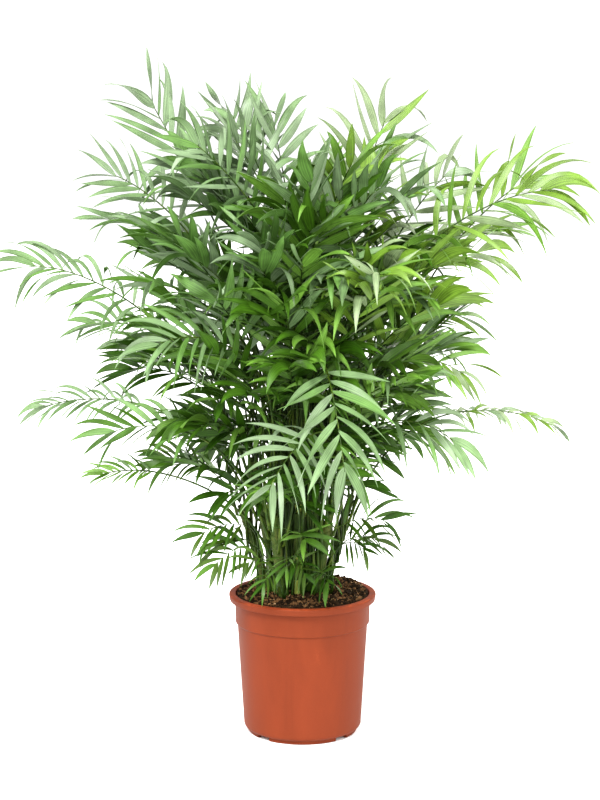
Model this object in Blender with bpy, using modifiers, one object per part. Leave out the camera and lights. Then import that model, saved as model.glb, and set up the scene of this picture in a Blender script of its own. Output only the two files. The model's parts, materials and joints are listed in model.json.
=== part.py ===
# Parlour palm: a clump of thin canes with feathered fronds, in a round plastic grower's pot.
# Metres, +Z up. The origin is the centre of the pot's underside, and the front is towards -Y.
import math
import random

import bmesh
import bpy
from mathutils import Matrix, Vector
from mathutils.bvhtree import BVHTree

GAP = 0.0003  # left between pieces that rest on each other

# Pot
POT_HEIGHT = 0.230
RIM_RADIUS = 0.120
RIM_INNER_RADIUS = 0.1085
LIP_HEIGHT = 0.011
LIP_ROUND = 0.0028
LIP_DRAFT = 0.0012
FILLET = 0.0016
COLLAR_RADIUS = 0.1102
COLLAR_HEIGHT = 0.038
COLLAR_DRAFT = 0.0008
COLLAR_STEP = 0.003  # height of the slope between collar and wall
WALL_TOP_RADIUS = 0.1062
BASE_RADIUS = 0.0962
CORNER_ROUND = 0.007
CORNER_TOP = 0.020  # the inner wall is straight from here up
WALL = 0.0022
FOOT_HEIGHT = 0.006
FOOT_WIDTH = 0.007
FOOT_RADIUS = 0.0895
FOOT_DRAFT = 0.001
CENTRE_FOOT_RADIUS = 0.020
FOOT_GAP = 0.025
DRAIN = 0.012
DRAIN_RADIUS = 0.0729  # from the pot's axis to a drain hole
CUT_PAST = 0.002  # a cutter runs this far past the faces that it cuts
POT_SIDES = 32
SOIL_LEVEL = 0.222

# Canes, set out like the seeds of a sunflower
GOLDEN_ANGLE = math.radians(137.508)
CANE_COUNT = 10
CLUMP_CENTRE = Vector((-0.010, 0.0, 0.0))
CLUMP_RADIUS = 0.056
CANE_TALL = 0.311
CANE_SHORT = 0.136
CANE_LEAN = 0.34  # sideways run of an outer cane for each metre of height
CANE_FOOT = 0.0066
CANE_TOP = 0.0044
CANE_RINGS = 4
CANE_SIDES = 8

# Frond stalks and ribs
RIB_WIDTH = 0.0036
RIB_TIP = 0.0018
HEEL = 0.007  # a leaf stalk's foot stands out this far before it turns up the cane
FOOT_STEP = 0.016  # height between the feet on one cane
FEET_PER_CANE = 6
LOWEST_FOOT = 0.006
HIGH_ENOUGH = 0.044  # a foot is looked for from at least this high on its cane, downwards
STALK_SHARE = 0.55  # a stalk is about this share of its blade long, and a little more
STALK_SPARE = 0.10
CROWDING = 0.015  # each foot on a cane makes it this much less likely to take the next
PETIOLE_RINGS = 5
PETIOLE_SPLAY = 0.30
PETIOLE_RISE = 0.38
PETIOLE_RUN = 0.34
RIB_CLEAR = 0.0050  # between the centre lines of two ribs
SWINGS = (0, 20, -20, 40, -40, 60, -60, 85, -85)
NUDGES = (0.0, 0.010, -0.010, 0.020, -0.020, 0.035, -0.035)

# Buds
HEART_HEIGHT = 0.014
HEART_SHARE = 0.95  # a heart's bud is this share of its cane's top across
TALL_CANE = 0.24
BUD_TURNS = (30, 60, 0, 90)
SHOOT_HEIGHT = 0.030
SHOOT_RADIUS = 0.0046
SHOOT_PAIRS = 4
SHOOT_RISE = 0.010
SHOOT_HANG = 0.6

# Leaflets
ROOT_WIDTH = 0.0055
BLADE_WIDTH = 0.0175
LEAF_THICK = 0.0015
WIDEST = 0.42  # share of a leaflet's length at its widest place
LEAF_CLEAR = 0.0008
ROOT_ANGLE = 60.0
END_ANGLE = 27.0
HANG = 0.45
LIFT = 0.22  # rise of a leaflet out of the blade's plane
ROOT_FREE = 0.05  # share of a leaflet's lower half that may touch its own rib
PAIR_FREE = 0.30  # and that may touch the leaflets beside it
# What a leaflet tries in turn until it touches nothing: a turn along the rib in degrees, more or
# less hang, and a share of its length.
TRIES = [
    (0, 0.0, 1.0),
    (0, -0.3, 1.0),
    (0, 0.4, 1.0),
    (-10, 0.1, 0.95),
    (8, -0.15, 0.9),
    (-14, -0.35, 0.85),
    (0, 0.5, 0.75),
    (0, -0.05, 0.65),
]

# Fronds that make the outline seen from the front. Each row: name, start of the blade, tip of its
# rib, rise of the blade's arch, how far it faces forward from the sky in degrees, how much its
# leaflets hang, their length, and the pairs of them.
OUTLINE = [
    ("top_left", (-0.152, 0.09, 0.845), (-0.250, 0.15, 1.022), 0.004, 78, 0.35, 0.114, 8),
    ("top_mid_left", (-0.078, 0.07, 0.815), (-0.112, 0.09, 0.998), 0.004, 84, 0.10, 0.100, 7),
    ("upper_left", (-0.070, -0.05, 0.850), (-0.165, -0.07, 0.955), 0.010, 62, 0.30, 0.095, 6),
    ("left_high", (-0.190, 0.04, 0.820), (-0.305, 0.06, 0.905), 0.014, 58, 0.45, 0.095, 7),
    ("left_long", (-0.240, -0.03, 0.682), (-0.422, -0.05, 0.766), 0.024, 44, 0.90, 0.098, 8),
    ("left_edge", (-0.220, 0.06, 0.640), (-0.345, 0.10, 0.660), 0.014, 30, 0.45, 0.092, 6),
    ("left_waist", (-0.170, 0.03, 0.565), (-0.280, 0.05, 0.590), 0.016, 34, 0.60, 0.092, 6),
    ("left_low_long", (-0.250, -0.02, 0.540), (-0.412, -0.03, 0.540), 0.016, 26, 1.10, 0.075, 7),
    ("left_low", (-0.170, -0.08, 0.502), (-0.296, -0.11, 0.512), 0.016, 40, 0.60, 0.090, 6),
    ("left_thin", (-0.236, -0.05, 0.438), (-0.318, -0.06, 0.436), 0.006, 30, 0.55, 0.050, 4),
    ("front", (0.035, -0.225, 0.625), (0.060, -0.335, 0.490), 0.022, 60, 0.30, 0.118, 8),
    ("front_low", (0.020, -0.200, 0.525), (-0.048, -0.310, 0.462), 0.018, 58, 0.50, 0.105, 7),
    ("front_left", (-0.095, -0.150, 0.640), (-0.215, -0.240, 0.662), 0.024, 46, 0.75, 0.102, 7),
    ("front_high", (0.005, -0.090, 0.715), (0.065, -0.220, 0.765), 0.022, 40, 0.80, 0.112, 7),
    ("middle_up", (0.018, -0.070, 0.735), (0.060, -0.110, 0.880), 0.006, 66, 0.30, 0.110, 6),
    ("top_right", (0.082, 0.13, 0.835), (0.138, 0.17, 0.992), 0.010, 84, 0.35, 0.120, 7),
    ("right_top", (0.145, 0.06, 0.790), (0.235, 0.09, 0.905), 0.012, 62, 0.50, 0.108, 6),
    ("right_high", (0.200, -0.04, 0.802), (0.378, -0.07, 0.884), 0.022, 44, 0.75, 0.132, 8),
    ("right_back", (0.255, 0.08, 0.800), (0.365, 0.11, 0.892), 0.012, 56, 0.55, 0.118, 6),
    ("right_middle", (0.160, 0.00, 0.715), (0.285, 0.02, 0.780), 0.022, 36, 0.80, 0.115, 7),
    ("right_inner", (0.150, 0.05, 0.645), (0.258, 0.07, 0.675), 0.020, 34, 0.75, 0.095, 6),
    ("right_waist", (0.140, -0.06, 0.610), (0.250, -0.09, 0.600), 0.022, 38, 0.60, 0.090, 6),
    ("right_long", (0.230, 0.00, 0.522), (0.402, 0.00, 0.506), 0.020, 14, 1.60, 0.058, 8),
    ("right_low", (0.130, -0.10, 0.525), (0.235, -0.14, 0.500), 0.020, 40, 0.80, 0.105, 6),
    ("right_hang", (0.120, 0.01, 0.505), (0.215, 0.02, 0.475), 0.020, 30, 1.10, 0.095, 5),
]

# Fronds that fill the crown in front and behind, in tiers. Each row: name, count, first and last
# bearing in degrees, radius and height of the blade's start, radius and height of its tip, rise of
# the arch, leaflet length, pairs of leaflets.
TIERS = [
    ("fore", 2, 225, 300, 0.16, 0.700, 0.31, 0.770, 0.022, 0.105, 6),
    ("back_high", 3, 30, 150, 0.16, 0.740, 0.34, 0.830, 0.020, 0.108, 6),
    ("back_middle", 3, 45, 140, 0.17, 0.590, 0.37, 0.620, 0.022, 0.105, 6),
    ("back_low", 2, 60, 125, 0.15, 0.460, 0.31, 0.460, 0.020, 0.095, 5),
]

# The youngest fronds, three to a cane. Each row: level, radius and height of the blade's start,
# radius and height of its tip, rise, leaflet length, pairs.
HEART_TIERS = [
    ("top", 0.055, 0.780, 0.145, 0.915, 0.010, 0.110, 5),
    ("high", 0.090, 0.680, 0.225, 0.790, 0.014, 0.108, 5),
    ("middle", 0.110, 0.560, 0.245, 0.625, 0.016, 0.102, 5),
    ("low", 0.110, 0.425, 0.205, 0.450, 0.014, 0.085, 4),
]

# Young shoots straight out of the soil. Each row: name, place on the soil, and for each of its
# fronds the start of the blade, tip, how far it faces forward, and leaflet length.
SHOOTS = [
    (
        "shoot_left",
        (-0.070, -0.034),
        [
            ((-0.092, -0.055, 0.352), (-0.160, -0.085, 0.345), 50, 0.070),
            ((-0.084, -0.070, 0.322), (-0.138, -0.110, 0.300), 55, 0.066),
            ((-0.150, -0.005, 0.432), (-0.232, 0.000, 0.452), 40, 0.060),
        ],
    ),
    (
        "shoot_front",
        (-0.030, -0.068),
        [
            ((-0.040, -0.098, 0.285), (-0.062, -0.130, 0.272), 60, 0.046),
            ((-0.018, -0.095, 0.300), (0.004, -0.132, 0.288), 60, 0.048),
            ((-0.055, -0.085, 0.300), (-0.088, -0.105, 0.300), 60, 0.048),
        ],
    ),
    (
        "shoot_right",
        (0.046, -0.030),
        [
            ((0.062, -0.045, 0.350), (0.130, -0.065, 0.362), 45, 0.070),
            ((0.064, -0.058, 0.322), (0.098, -0.088, 0.318), 55, 0.054),
            ((0.072, -0.020, 0.320), (0.122, -0.018, 0.318), 40, 0.060),
        ],
    ),
]


def principled(name, colour, roughness):
    material = bpy.data.materials.new(name)
    material.use_nodes = True
    shader = material.node_tree.nodes["Principled BSDF"]
    shader.inputs["Base Color"].default_value = (*colour, 1.0)
    shader.inputs["Roughness"].default_value = roughness
    shader.inputs["Metallic"].default_value = 0.0
    return material


def add_object(name, mesh, material, collection):
    piece = bpy.data.objects.new(name, mesh)
    piece.data.materials.append(material)
    collection.objects.link(piece)
    return piece


def mesh_from(bm, name):
    bmesh.ops.recalc_face_normals(bm, faces=bm.faces)
    mesh = bpy.data.meshes.new(name)
    bm.to_mesh(mesh)
    bm.free()
    return mesh


# Pot and soil

def wall_radius(height):
    share = (height - FOOT_HEIGHT) / (POT_HEIGHT - LIP_HEIGHT - COLLAR_HEIGHT - FOOT_HEIGHT)
    return BASE_RADIUS + (WALL_TOP_RADIUS - BASE_RADIUS) * min(max(share, 0.0), 1.0)


def arc(centre, radius, start, end, steps):
    angles = [math.radians(start + (end - start) * i / steps) for i in range(steps + 1)]
    return [(centre[0] + radius * math.cos(a), centre[1] + radius * math.sin(a)) for a in angles]


def pot_profile():
    floor = FOOT_HEIGHT + WALL
    lip_bottom = POT_HEIGHT - LIP_HEIGHT
    collar_bottom = lip_bottom - COLLAR_HEIGHT
    inside = [(0.0, floor), (BASE_RADIUS - CORNER_ROUND, floor)]
    inside.append((wall_radius(CORNER_TOP) - WALL, CORNER_TOP))
    inside.append((WALL_TOP_RADIUS - WALL, collar_bottom))
    inside.append((COLLAR_RADIUS - WALL, lip_bottom))
    inside.append((RIM_INNER_RADIUS, POT_HEIGHT))
    lip = arc((RIM_RADIUS - LIP_ROUND, POT_HEIGHT - LIP_ROUND), LIP_ROUND, 90, 0, 3)
    lip.append((RIM_RADIUS - LIP_DRAFT, lip_bottom))
    lip.append((COLLAR_RADIUS + FILLET, lip_bottom + FILLET / 2))
    collar = [(COLLAR_RADIUS, lip_bottom - FILLET)]
    collar.append((COLLAR_RADIUS - COLLAR_DRAFT, collar_bottom + COLLAR_STEP * 2 / 3))
    collar.append((WALL_TOP_RADIUS, collar_bottom - COLLAR_STEP / 3))
    corner = arc((BASE_RADIUS - CORNER_ROUND, FOOT_HEIGHT + CORNER_ROUND), CORNER_ROUND, 0, -70, 2)
    foot = [(FOOT_RADIUS, FOOT_HEIGHT), (FOOT_RADIUS - FOOT_DRAFT, 0.0)]
    foot.append((FOOT_RADIUS - FOOT_WIDTH, 0.0))
    foot.append((FOOT_RADIUS - FOOT_WIDTH, FOOT_HEIGHT))
    centre = [(CENTRE_FOOT_RADIUS, FOOT_HEIGHT), (CENTRE_FOOT_RADIUS, 0.0), (0.0, 0.0)]
    return inside + lip + collar + corner + foot + centre


def turned(name, profile, collection, material):
    mesh = bpy.data.meshes.new(name)
    edges = [(i, i + 1) for i in range(len(profile) - 1)]
    mesh.from_pydata([(x, 0.0, z) for x, z in profile], edges, [])
    piece = add_object(name, mesh, material, collection)
    screw = piece.modifiers.new("turn", "SCREW")
    screw.steps = POT_SIDES
    screw.render_steps = POT_SIDES
    screw.use_merge_vertices = True
    screw.merge_threshold = 0.00001
    return piece


def drain_cutters(collection):
    # One for each gap between the foot's four segments, with a drain hole beside it.
    foot_middle = FOOT_RADIUS - FOOT_WIDTH / 2
    foot_size = (FOOT_WIDTH + 4 * CUT_PAST, FOOT_GAP)
    drain_top = FOOT_HEIGHT + WALL + CUT_PAST
    for quarter in range(4):
        bearing = math.radians(45 + 90 * quarter)
        for name, middle, size, top in (
            ("foot_gap", foot_middle, foot_size, FOOT_HEIGHT),
            ("drain", DRAIN_RADIUS, (DRAIN, DRAIN), drain_top),
        ):
            bm = bmesh.new()
            bmesh.ops.create_cube(bm, size=1.0)
            bmesh.ops.scale(bm, vec=(*size, top + CUT_PAST), verts=bm.verts)
            cutter = bpy.data.objects.new(f"{name}_cutter_{quarter + 1}", mesh_from(bm, name))
            cutter.location = (
                middle * math.cos(bearing),
                middle * math.sin(bearing),
                (top - CUT_PAST) / 2,
            )
            cutter.rotation_euler = (0.0, 0.0, bearing)
            cutter.hide_render = True
            cutter.display_type = "WIRE"
            collection.objects.link(cutter)


def make_pot(collection, cutter_collection):
    plastic = principled("terracotta plastic", (0.50, 0.090, 0.042), 0.45)
    pot = turned("pot", pot_profile(), collection, plastic)
    drain_cutters(cutter_collection)
    cut = pot.modifiers.new("drains", "BOOLEAN")
    cut.operation = "DIFFERENCE"
    cut.operand_type = "COLLECTION"
    cut.collection = cutter_collection
    earth = principled("potting soil", (0.030, 0.019, 0.011), 0.95)
    floor = FOOT_HEIGHT + WALL + GAP
    side = WALL + GAP
    collar_bottom = POT_HEIGHT - LIP_HEIGHT - COLLAR_HEIGHT
    collar_share = (SOIL_LEVEL - collar_bottom) / COLLAR_HEIGHT
    soil_radius = WALL_TOP_RADIUS + (COLLAR_RADIUS - WALL_TOP_RADIUS) * collar_share - side
    profile = [(0.0, SOIL_LEVEL), (soil_radius, SOIL_LEVEL)]
    profile.append((WALL_TOP_RADIUS - side, collar_bottom))
    profile.append((wall_radius(CORNER_TOP) - side, CORNER_TOP))
    profile.append((BASE_RADIUS - CORNER_ROUND - GAP, floor))
    profile.append((0.0, floor))
    turned("soil", profile, collection, earth)


# Canes

def lay_out_canes():
    canes = []
    for i in range(CANE_COUNT):
        share = (i + 0.5) / CANE_COUNT
        bearing = i * GOLDEN_ANGLE
        out = Vector((math.cos(bearing), math.sin(bearing), 0.0))
        foot = CLUMP_CENTRE + out * CLUMP_RADIUS * math.sqrt(share)
        foot.z = SOIL_LEVEL + GAP
        height = CANE_TALL + (CANE_SHORT - CANE_TALL) * share
        canes.append({"foot": foot, "height": height, "lean": out * CANE_LEAN * share, "feet": []})
    return canes


def cane_at(cane, height):
    share = height / cane["height"]
    bend = 0.5 + 0.5 * share
    centre = cane["foot"] + cane["lean"] * height * bend + Vector((0.0, 0.0, height))
    return centre, CANE_FOOT + (CANE_TOP - CANE_FOOT) * share


def cane_mesh(cane, name):
    bm = bmesh.new()
    made = bmesh.ops.create_circle(bm, cap_ends=True, segments=CANE_SIDES, radius=CANE_FOOT)
    bmesh.ops.translate(bm, vec=cane["foot"], verts=made["verts"])
    end = bm.faces[:][0]
    closing = list(end.verts)
    centre, radius = cane_at(cane, 0.0)
    for ring in range(1, CANE_RINGS + 1):
        end = bmesh.ops.extrude_discrete_faces(bm, faces=[end])["faces"][0]
        next_centre, next_radius = cane_at(cane, cane["height"] * ring / CANE_RINGS)
        for vert in end.verts:
            vert.co = next_centre + (vert.co - centre) * (next_radius / radius)
        centre, radius = next_centre, next_radius
    bm.faces.new(reversed(closing))
    return mesh_from(bm, name)


# Fronds

def cubic(points, t):
    a, b, c, d = points
    u = 1.0 - t
    place = a * u**3 + b * (3 * u * u * t) + c * (3 * u * t * t) + d * t**3
    heading = (b - a) * (u * u) + (c - b) * (2 * u * t) + (d - c) * (t * t)
    return place, heading.normalized()


def blade_curve(start, tip, rise):
    lift = Vector((0.0, 0.0, rise))
    return (start, start.lerp(tip, 0.33) + lift, start.lerp(tip, 0.70) + lift, tip)


def petiole_curve(foot, out, start, heading):
    heel = foot + out * HEEL + Vector((0.0, 0.0, HEEL * 0.6))
    reach = (start - heel).length
    up = (out * PETIOLE_SPLAY + Vector((0.0, 0.0, 1.0))).normalized()
    turn = start - heading * (reach * PETIOLE_RUN)
    return (heel, heel + up * (reach * PETIOLE_RISE), turn, start)


def rib_at(frond, place):
    # The petiole runs from place 0 to 1 and the blade from 1 to 2.
    if place < 1.0:
        point, heading = cubic(frond["petiole"], place)
        facing = frond["foot_face"].lerp(frond["face"], place)
    else:
        point, heading = cubic(frond["blade"], place - 1.0)
        facing = frond["face"]
    normal = (facing - heading * facing.dot(heading)).normalized()
    return point, heading, heading.cross(normal), normal


def petiole_places():
    return [i / PETIOLE_RINGS for i in range(PETIOLE_RINGS + 1)]


def root_places(frond):
    # Where each pair of leaflets leaves the rib: places of its near and far side.
    blade_length = (frond["blade"][3] - frond["blade"][0]).length
    root = ROOT_WIDTH / blade_length
    step = (1.0 - root) / frond["pairs"]
    return [(1.0 + step * (i + 1) - root, 1.0 + step * (i + 1)) for i in range(frond["pairs"])]


def ring_places(frond):
    return petiole_places() + [place for pair in root_places(frond) for place in pair]


def rib_points(frond):
    return [frond["foot"]] + [rib_at(frond, place)[0] for place in ring_places(frond)]


def box_of(points):
    low = [min(point[i] for point in points) for i in range(3)]
    return low, [max(point[i] for point in points) for i in range(3)]


def boxes_apart(first, second, clear):
    return any(
        first[0][i] - clear > second[1][i] or second[0][i] - clear > first[1][i] for i in range(3)
    )


def line_record(points, clear):
    segments = [(a, b, box_of((a, b))) for a, b in zip(points, points[1:])]
    return {"segments": segments, "clear": clear, "box": box_of(points)}


def segment_gap(a, b, c, d):
    # Shortest distance between segments a-b and c-d.
    ab, cd, ca = b - a, d - c, a - c
    e, f = ab.length_squared, cd.length_squared
    g, h, k = ab.dot(ca), ab.dot(cd), cd.dot(ca)
    spread = e * f - h * h
    s = min(max((h * k - g * f) / spread, 0.0), 1.0) if spread > 1e-14 else 0.0
    t = min(max((h * s + k) / f, 0.0), 1.0)
    s = min(max((h * t - g) / e, 0.0), 1.0)
    return (a + ab * s - c - cd * t).length


def line_clear(points, lines):
    own = line_record(points, 0.0)
    for line in lines:
        if boxes_apart(own["box"], line["box"], line["clear"]):
            continue
        for a, b, box in own["segments"]:
            for c, d, other in line["segments"]:
                if boxes_apart(box, other, line["clear"]):
                    continue
                if segment_gap(a, b, c, d) < line["clear"]:
                    return False
    return True


def forward(tilt):
    angle = math.radians(tilt)
    return Vector((0.0, -math.sin(angle), math.cos(angle)))


def outline_fronds():
    for name, start, tip, rise, tilt, hang, length, pairs in OUTLINE:
        yield name, Vector(start), Vector(tip), rise, forward(tilt), hang, length, pairs


def polar(bearing, radius, height):
    return CLUMP_CENTRE + Vector((radius * math.cos(bearing), radius * math.sin(bearing), height))


def inward(bearing):
    return Vector((-0.45 * math.cos(bearing), -0.45 * math.sin(bearing), 0.9))


def tier_fronds():
    draw = random.Random(7)
    for name, count, first, last, r1, z1, r2, z2, rise, length, pairs in TIERS:
        for i in range(count):
            bearing = math.radians(first + (last - first) * i / max(count - 1, 1))
            bearing += draw.uniform(-0.06, 0.06)
            start = polar(bearing, r1, z1 + draw.uniform(-0.02, 0.02))
            tip = polar(bearing + draw.uniform(-0.12, 0.12), r2, z2 + draw.uniform(-0.025, 0.025))
            yield f"{name}_{i + 1}", start, tip, rise, inward(bearing), HANG, length, pairs


def frond_record(spec, foot, out, up, rising):
    name, start, tip, rise, face, hang, length, pairs = spec
    blade = blade_curve(start, tip, rise)
    return {
        "name": name,
        "foot": foot,
        "out": out,
        "up": up,
        "petiole": petiole_curve(foot, rising, start, cubic(blade, 0.0)[1]),
        "blade": blade,
        "foot_face": up * 0.6 - out * 0.8,
        "face": face,
        "hang": hang,
        "length": length,
        "pairs": pairs,
        "grown": [],
    }


def side_frond(cane, height, aim, spec):
    centre, radius = cane_at(cane, height)
    axis = (cane_at(cane, height + 0.01)[0] - centre).normalized()
    out = Vector((math.cos(aim), math.sin(aim), 0.0))
    out = (out - axis * out.dot(axis)).normalized()
    return frond_record(spec, centre + out * (radius + GAP), out, axis, out)


def place_side_frond(canes, lines, spec):
    # Takes the nearest cane with a free place, and turns the foot until the stalk runs clear.
    _, start, tip, *_ = spec
    stalk = STALK_SHARE * (tip - start).length + STALK_SPARE
    options = []
    for index, cane in enumerate(canes):
        top, _ = cane_at(cane, cane["height"])
        reach = math.hypot(start.x - top.x, start.y - top.y)
        drop = max(start.z - stalk - top.z, 0.0)
        options.append((reach + 0.5 * drop + CROWDING * len(cane["feet"]), index))
    for _, index in sorted(options):
        cane = canes[index]
        if len(cane["feet"]) >= FEET_PER_CANE:
            continue
        height = min(cane["height"] - FOOT_STEP, max(start.z - SOIL_LEVEL - stalk, HIGH_ENOUGH))
        while height > LOWEST_FOOT:
            if any(abs(height - other) < FOOT_STEP for other in cane["feet"]):
                height -= FOOT_STEP / 4
                continue
            centre, _ = cane_at(cane, height)
            aim = math.atan2(start.y - centre.y, start.x - centre.x)
            for swing in SWINGS:
                frond = side_frond(cane, height, aim + math.radians(swing), spec)
                points = rib_points(frond)
                others = lines[:index] + lines[index + 1 :]
                if line_clear(points[1:], lines) and line_clear(points[:2], others):
                    cane["feet"].append(height)
                    lines.append(line_record(points, RIB_CLEAR))
                    return frond
            height -= FOOT_STEP
    return None


def bud_frond(base, radius, height, bearing, spec):
    # A frond out of one sloping side of a bud.
    out = Vector((math.cos(bearing), math.sin(bearing), 0.0))
    up = Vector((0.0, 0.0, 1.0))
    foot = base + out * (radius * 0.3) + up * (height * 0.4)
    return frond_record(spec, foot, out, up, (out * 0.5 + up).normalized())


def first_clear(options, lines):
    # The first of some fronds whose rib runs clear of the lines.
    return next((frond for frond in options if line_clear(rib_points(frond), lines)), None)


def heart_options(base, radius, side, row, lift, name):
    _, r1, z1, r2, z2, rise, length, pairs = row
    for nudge in NUDGES:
        for swing in SWINGS:
            way = side + math.radians(swing)
            start = polar(way, r1, z1 + lift + nudge)
            tip = polar(way, r2, z2 + lift + nudge)
            spec = (name, start, tip, rise, inward(way), HANG, length, pairs)
            yield bud_frond(base, radius, HEART_HEIGHT, side, spec)


def lay_out_heart(cane, index, lines):
    # The youngest fronds of a cane rise together from one bud at its top, which is turned until
    # they all run clear.
    name = f"heart_{index + 1}"
    top, radius = cane_at(cane, cane["height"])
    base = top + Vector((0.0, 0.0, GAP))
    bud = {"name": name, "base": base, "radius": radius * HEART_SHARE, "height": HEART_HEIGHT}
    bud["fronds"] = []
    rows = HEART_TIERS[:3] if cane["height"] > TALL_CANE else HEART_TIERS[1:]
    others = lines[:index] + lines[index + 1 :]
    for twist in BUD_TURNS:
        draw = random.Random(40 + index)
        bearing = index * GOLDEN_ANGLE + math.radians(twist)
        fronds = []
        for turn, row in enumerate(rows):
            side = bearing + turn * math.radians(120)
            lift = draw.uniform(-0.03, 0.03)
            options = heart_options(base, bud["radius"], side, row, lift, name)
            fronds.append(first_clear(options, others))
        fronds = [frond for frond in fronds if frond]
        if len(fronds) > len(bud["fronds"]):
            bud.update(bearing=bearing, fronds=fronds)
    print(name, len(bud["fronds"]), "fronds")
    for frond in bud["fronds"]:
        lines.append(line_record(rib_points(frond), RIB_CLEAR))
    return bud


def shoot_options(base, side, name, row):
    start, tip, tilt, length = row
    for nudge in NUDGES:
        shift = Vector((0.0, 0.0, nudge))
        ends = (Vector(start) + shift, Vector(tip) + shift)
        spec = (name, *ends, SHOOT_RISE, forward(tilt), SHOOT_HANG, length, SHOOT_PAIRS)
        yield bud_frond(base, SHOOT_RADIUS, SHOOT_HEIGHT, side, spec)


def lay_out_shoot(name, place, rows, lines):
    base = Vector((*place, SOIL_LEVEL + GAP))
    aims = [math.atan2(row[0][1] - place[1], row[0][0] - place[0]) for row in rows]
    bud = {"name": name, "base": base, "radius": SHOOT_RADIUS, "height": SHOOT_HEIGHT}
    bud.update(bearing=aims[0], fronds=[])
    sides = [aims[0] + turn * math.radians(120) for turn in range(3)]
    for aim, row in zip(aims, rows):
        side = max(sides, key=lambda angle: math.cos(angle - aim))
        sides.remove(side)
        frond = first_clear(shoot_options(base, side, name, row), lines)
        if frond:
            bud["fronds"].append(frond)
        else:
            print("no room in", name)
    for frond in bud["fronds"]:
        lines.append(line_record(rib_points(frond), RIB_CLEAR))
    return bud


def lay_out_fronds(canes):
    lines = []
    for cane in canes:
        points = [cane_at(cane, cane["height"] * i / CANE_RINGS)[0] for i in range(CANE_RINGS + 1)]
        lines.append(line_record(points, CANE_FOOT + RIB_WIDTH))
    shoots = [lay_out_shoot(*row, lines) for row in SHOOTS]
    singles = []
    for name, start, tip, *rest in [*outline_fronds(), *tier_fronds()]:
        for nudge in NUDGES:
            shift = Vector((0.0, 0.0, nudge))
            frond = place_side_frond(canes, lines, (name, start + shift, tip + shift, *rest))
            if frond:
                singles.append(frond)
                break
        else:
            print("no room for", name)
    hearts = [lay_out_heart(cane, index, lines) for index, cane in enumerate(canes)]
    return singles, shoots + hearts


# Leaflets

def rib_size(place):
    return RIB_WIDTH + (RIB_TIP - RIB_WIDTH) * max(place - 1.0, 0.0)


def rib_ring(frond, place):
    # Left edge, right edge and ridge.
    point, _, side, normal = rib_at(frond, place)
    size = rib_size(place)
    low = point - normal * (size * 0.35)
    return [low - side * (size * 0.5), low + side * (size * 0.5), point + normal * (size * 0.55)]


def foot_ring(frond):
    side = frond["out"].cross(frond["up"])
    low = frond["foot"] - frond["up"] * (RIB_WIDTH * 0.4)
    ridge = frond["foot"] + frond["up"] * (RIB_WIDTH * 0.7)
    return [low - side * (RIB_WIDTH * 0.6), low + side * (RIB_WIDTH * 0.6), ridge]


def leaflet_length(frond, share):
    return frond["length"] * (0.78 + 0.85 * share - 0.80 * share * share)


def leaflet_corners(frond, near, far, hand, turn, droop, scale, swell=0.0):
    # Corners at the widest place, by (end, level), and the tip.
    share = (near + far) / 2 - 1.0
    point, heading, side, normal = rib_at(frond, (near + far) / 2)
    length = leaflet_length(frond, share) * scale
    angle = math.radians(ROOT_ANGLE + (END_ANGLE - ROOT_ANGLE) * share + turn)
    way = heading * math.cos(angle) + side * (hand * math.sin(angle)) + normal * LIFT
    way.normalize()
    across = (heading - way * heading.dot(way)).normalized()
    top = way.cross(across) * hand
    if top.dot(normal) < 0:
        top = -top
    middle = point + way * (length * WIDEST)
    middle.z -= droop * length * 0.10
    fall = (way + Vector((0.0, 0.0, -droop))).normalized()
    tip = middle + fall * (length * (1.0 - WIDEST) + swell)
    width = BLADE_WIDTH * (0.80 + 0.2 * scale) / 2 + swell
    thick = LEAF_THICK / 2 + swell
    corners = {
        (end, level): middle + across * (end * width) + top * (level * thick)
        for end in (-1, 1)
        for level in (-1, 1)
    }
    return point, corners, tip


def test_prism(point, corners, tip, first):
    # A slightly larger leaflet from the first share of its lower half on, as vertices and faces.
    order = [(-1, -1), (1, -1), (1, 1), (-1, 1)]
    middle = sum((corners[key] for key in order), Vector()) / 4
    start = point.lerp(middle, first)
    near = [start + (corners[key] - middle) * (0.4 + 0.6 * first) for key in order]
    verts = near + [corners[key] for key in order] + [tip]
    faces = [(3, 2, 1, 0)]
    for i in range(4):
        j = (i + 1) % 4
        faces.append((i, j, j + 4, i + 4))
        faces.append((i + 4, j + 4, 8))
    return verts, faces


def tree_of(solids):
    verts, faces = [], []
    for solid_verts, solid_faces in solids:
        first = len(verts)
        verts.extend(solid_verts)
        faces.extend(tuple(i + first for i in face) for face in solid_faces)
    return BVHTree.FromPolygons(verts, faces) if faces else None


def touches(tree, others):
    return any(tree.overlap(other) for other in others if other)


def rib_solid(frond):
    rings = [foot_ring(frond)] + [rib_ring(frond, place) for place in ring_places(frond)]
    verts = [vert for ring in rings for vert in ring]
    faces = []
    for r in range(len(rings) - 1):
        for i in range(3):
            j = (i + 1) % 3
            faces.append((3 * r + i, 3 * r + j, 3 * r + 3 + j, 3 * r + 3 + i))
    return verts, faces


def grow_leaflet(bm, root, ends, corners, tip):
    levels = [ends[vert] for vert in root.verts]
    middle = bmesh.ops.extrude_discrete_faces(bm, faces=[root])["faces"][0]
    for vert, key in zip(middle.verts, levels):
        vert.co = corners[key]
    point = bmesh.ops.poke(bm, faces=[middle])["verts"][0]
    point.co = tip


def extend(bm, end, order, ring):
    end = bmesh.ops.extrude_discrete_faces(bm, faces=[end])["faces"][0]
    verts = [end.verts[i] for i in order]
    for vert, place in zip(verts, ring):
        vert.co = place
    return end, verts


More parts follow.
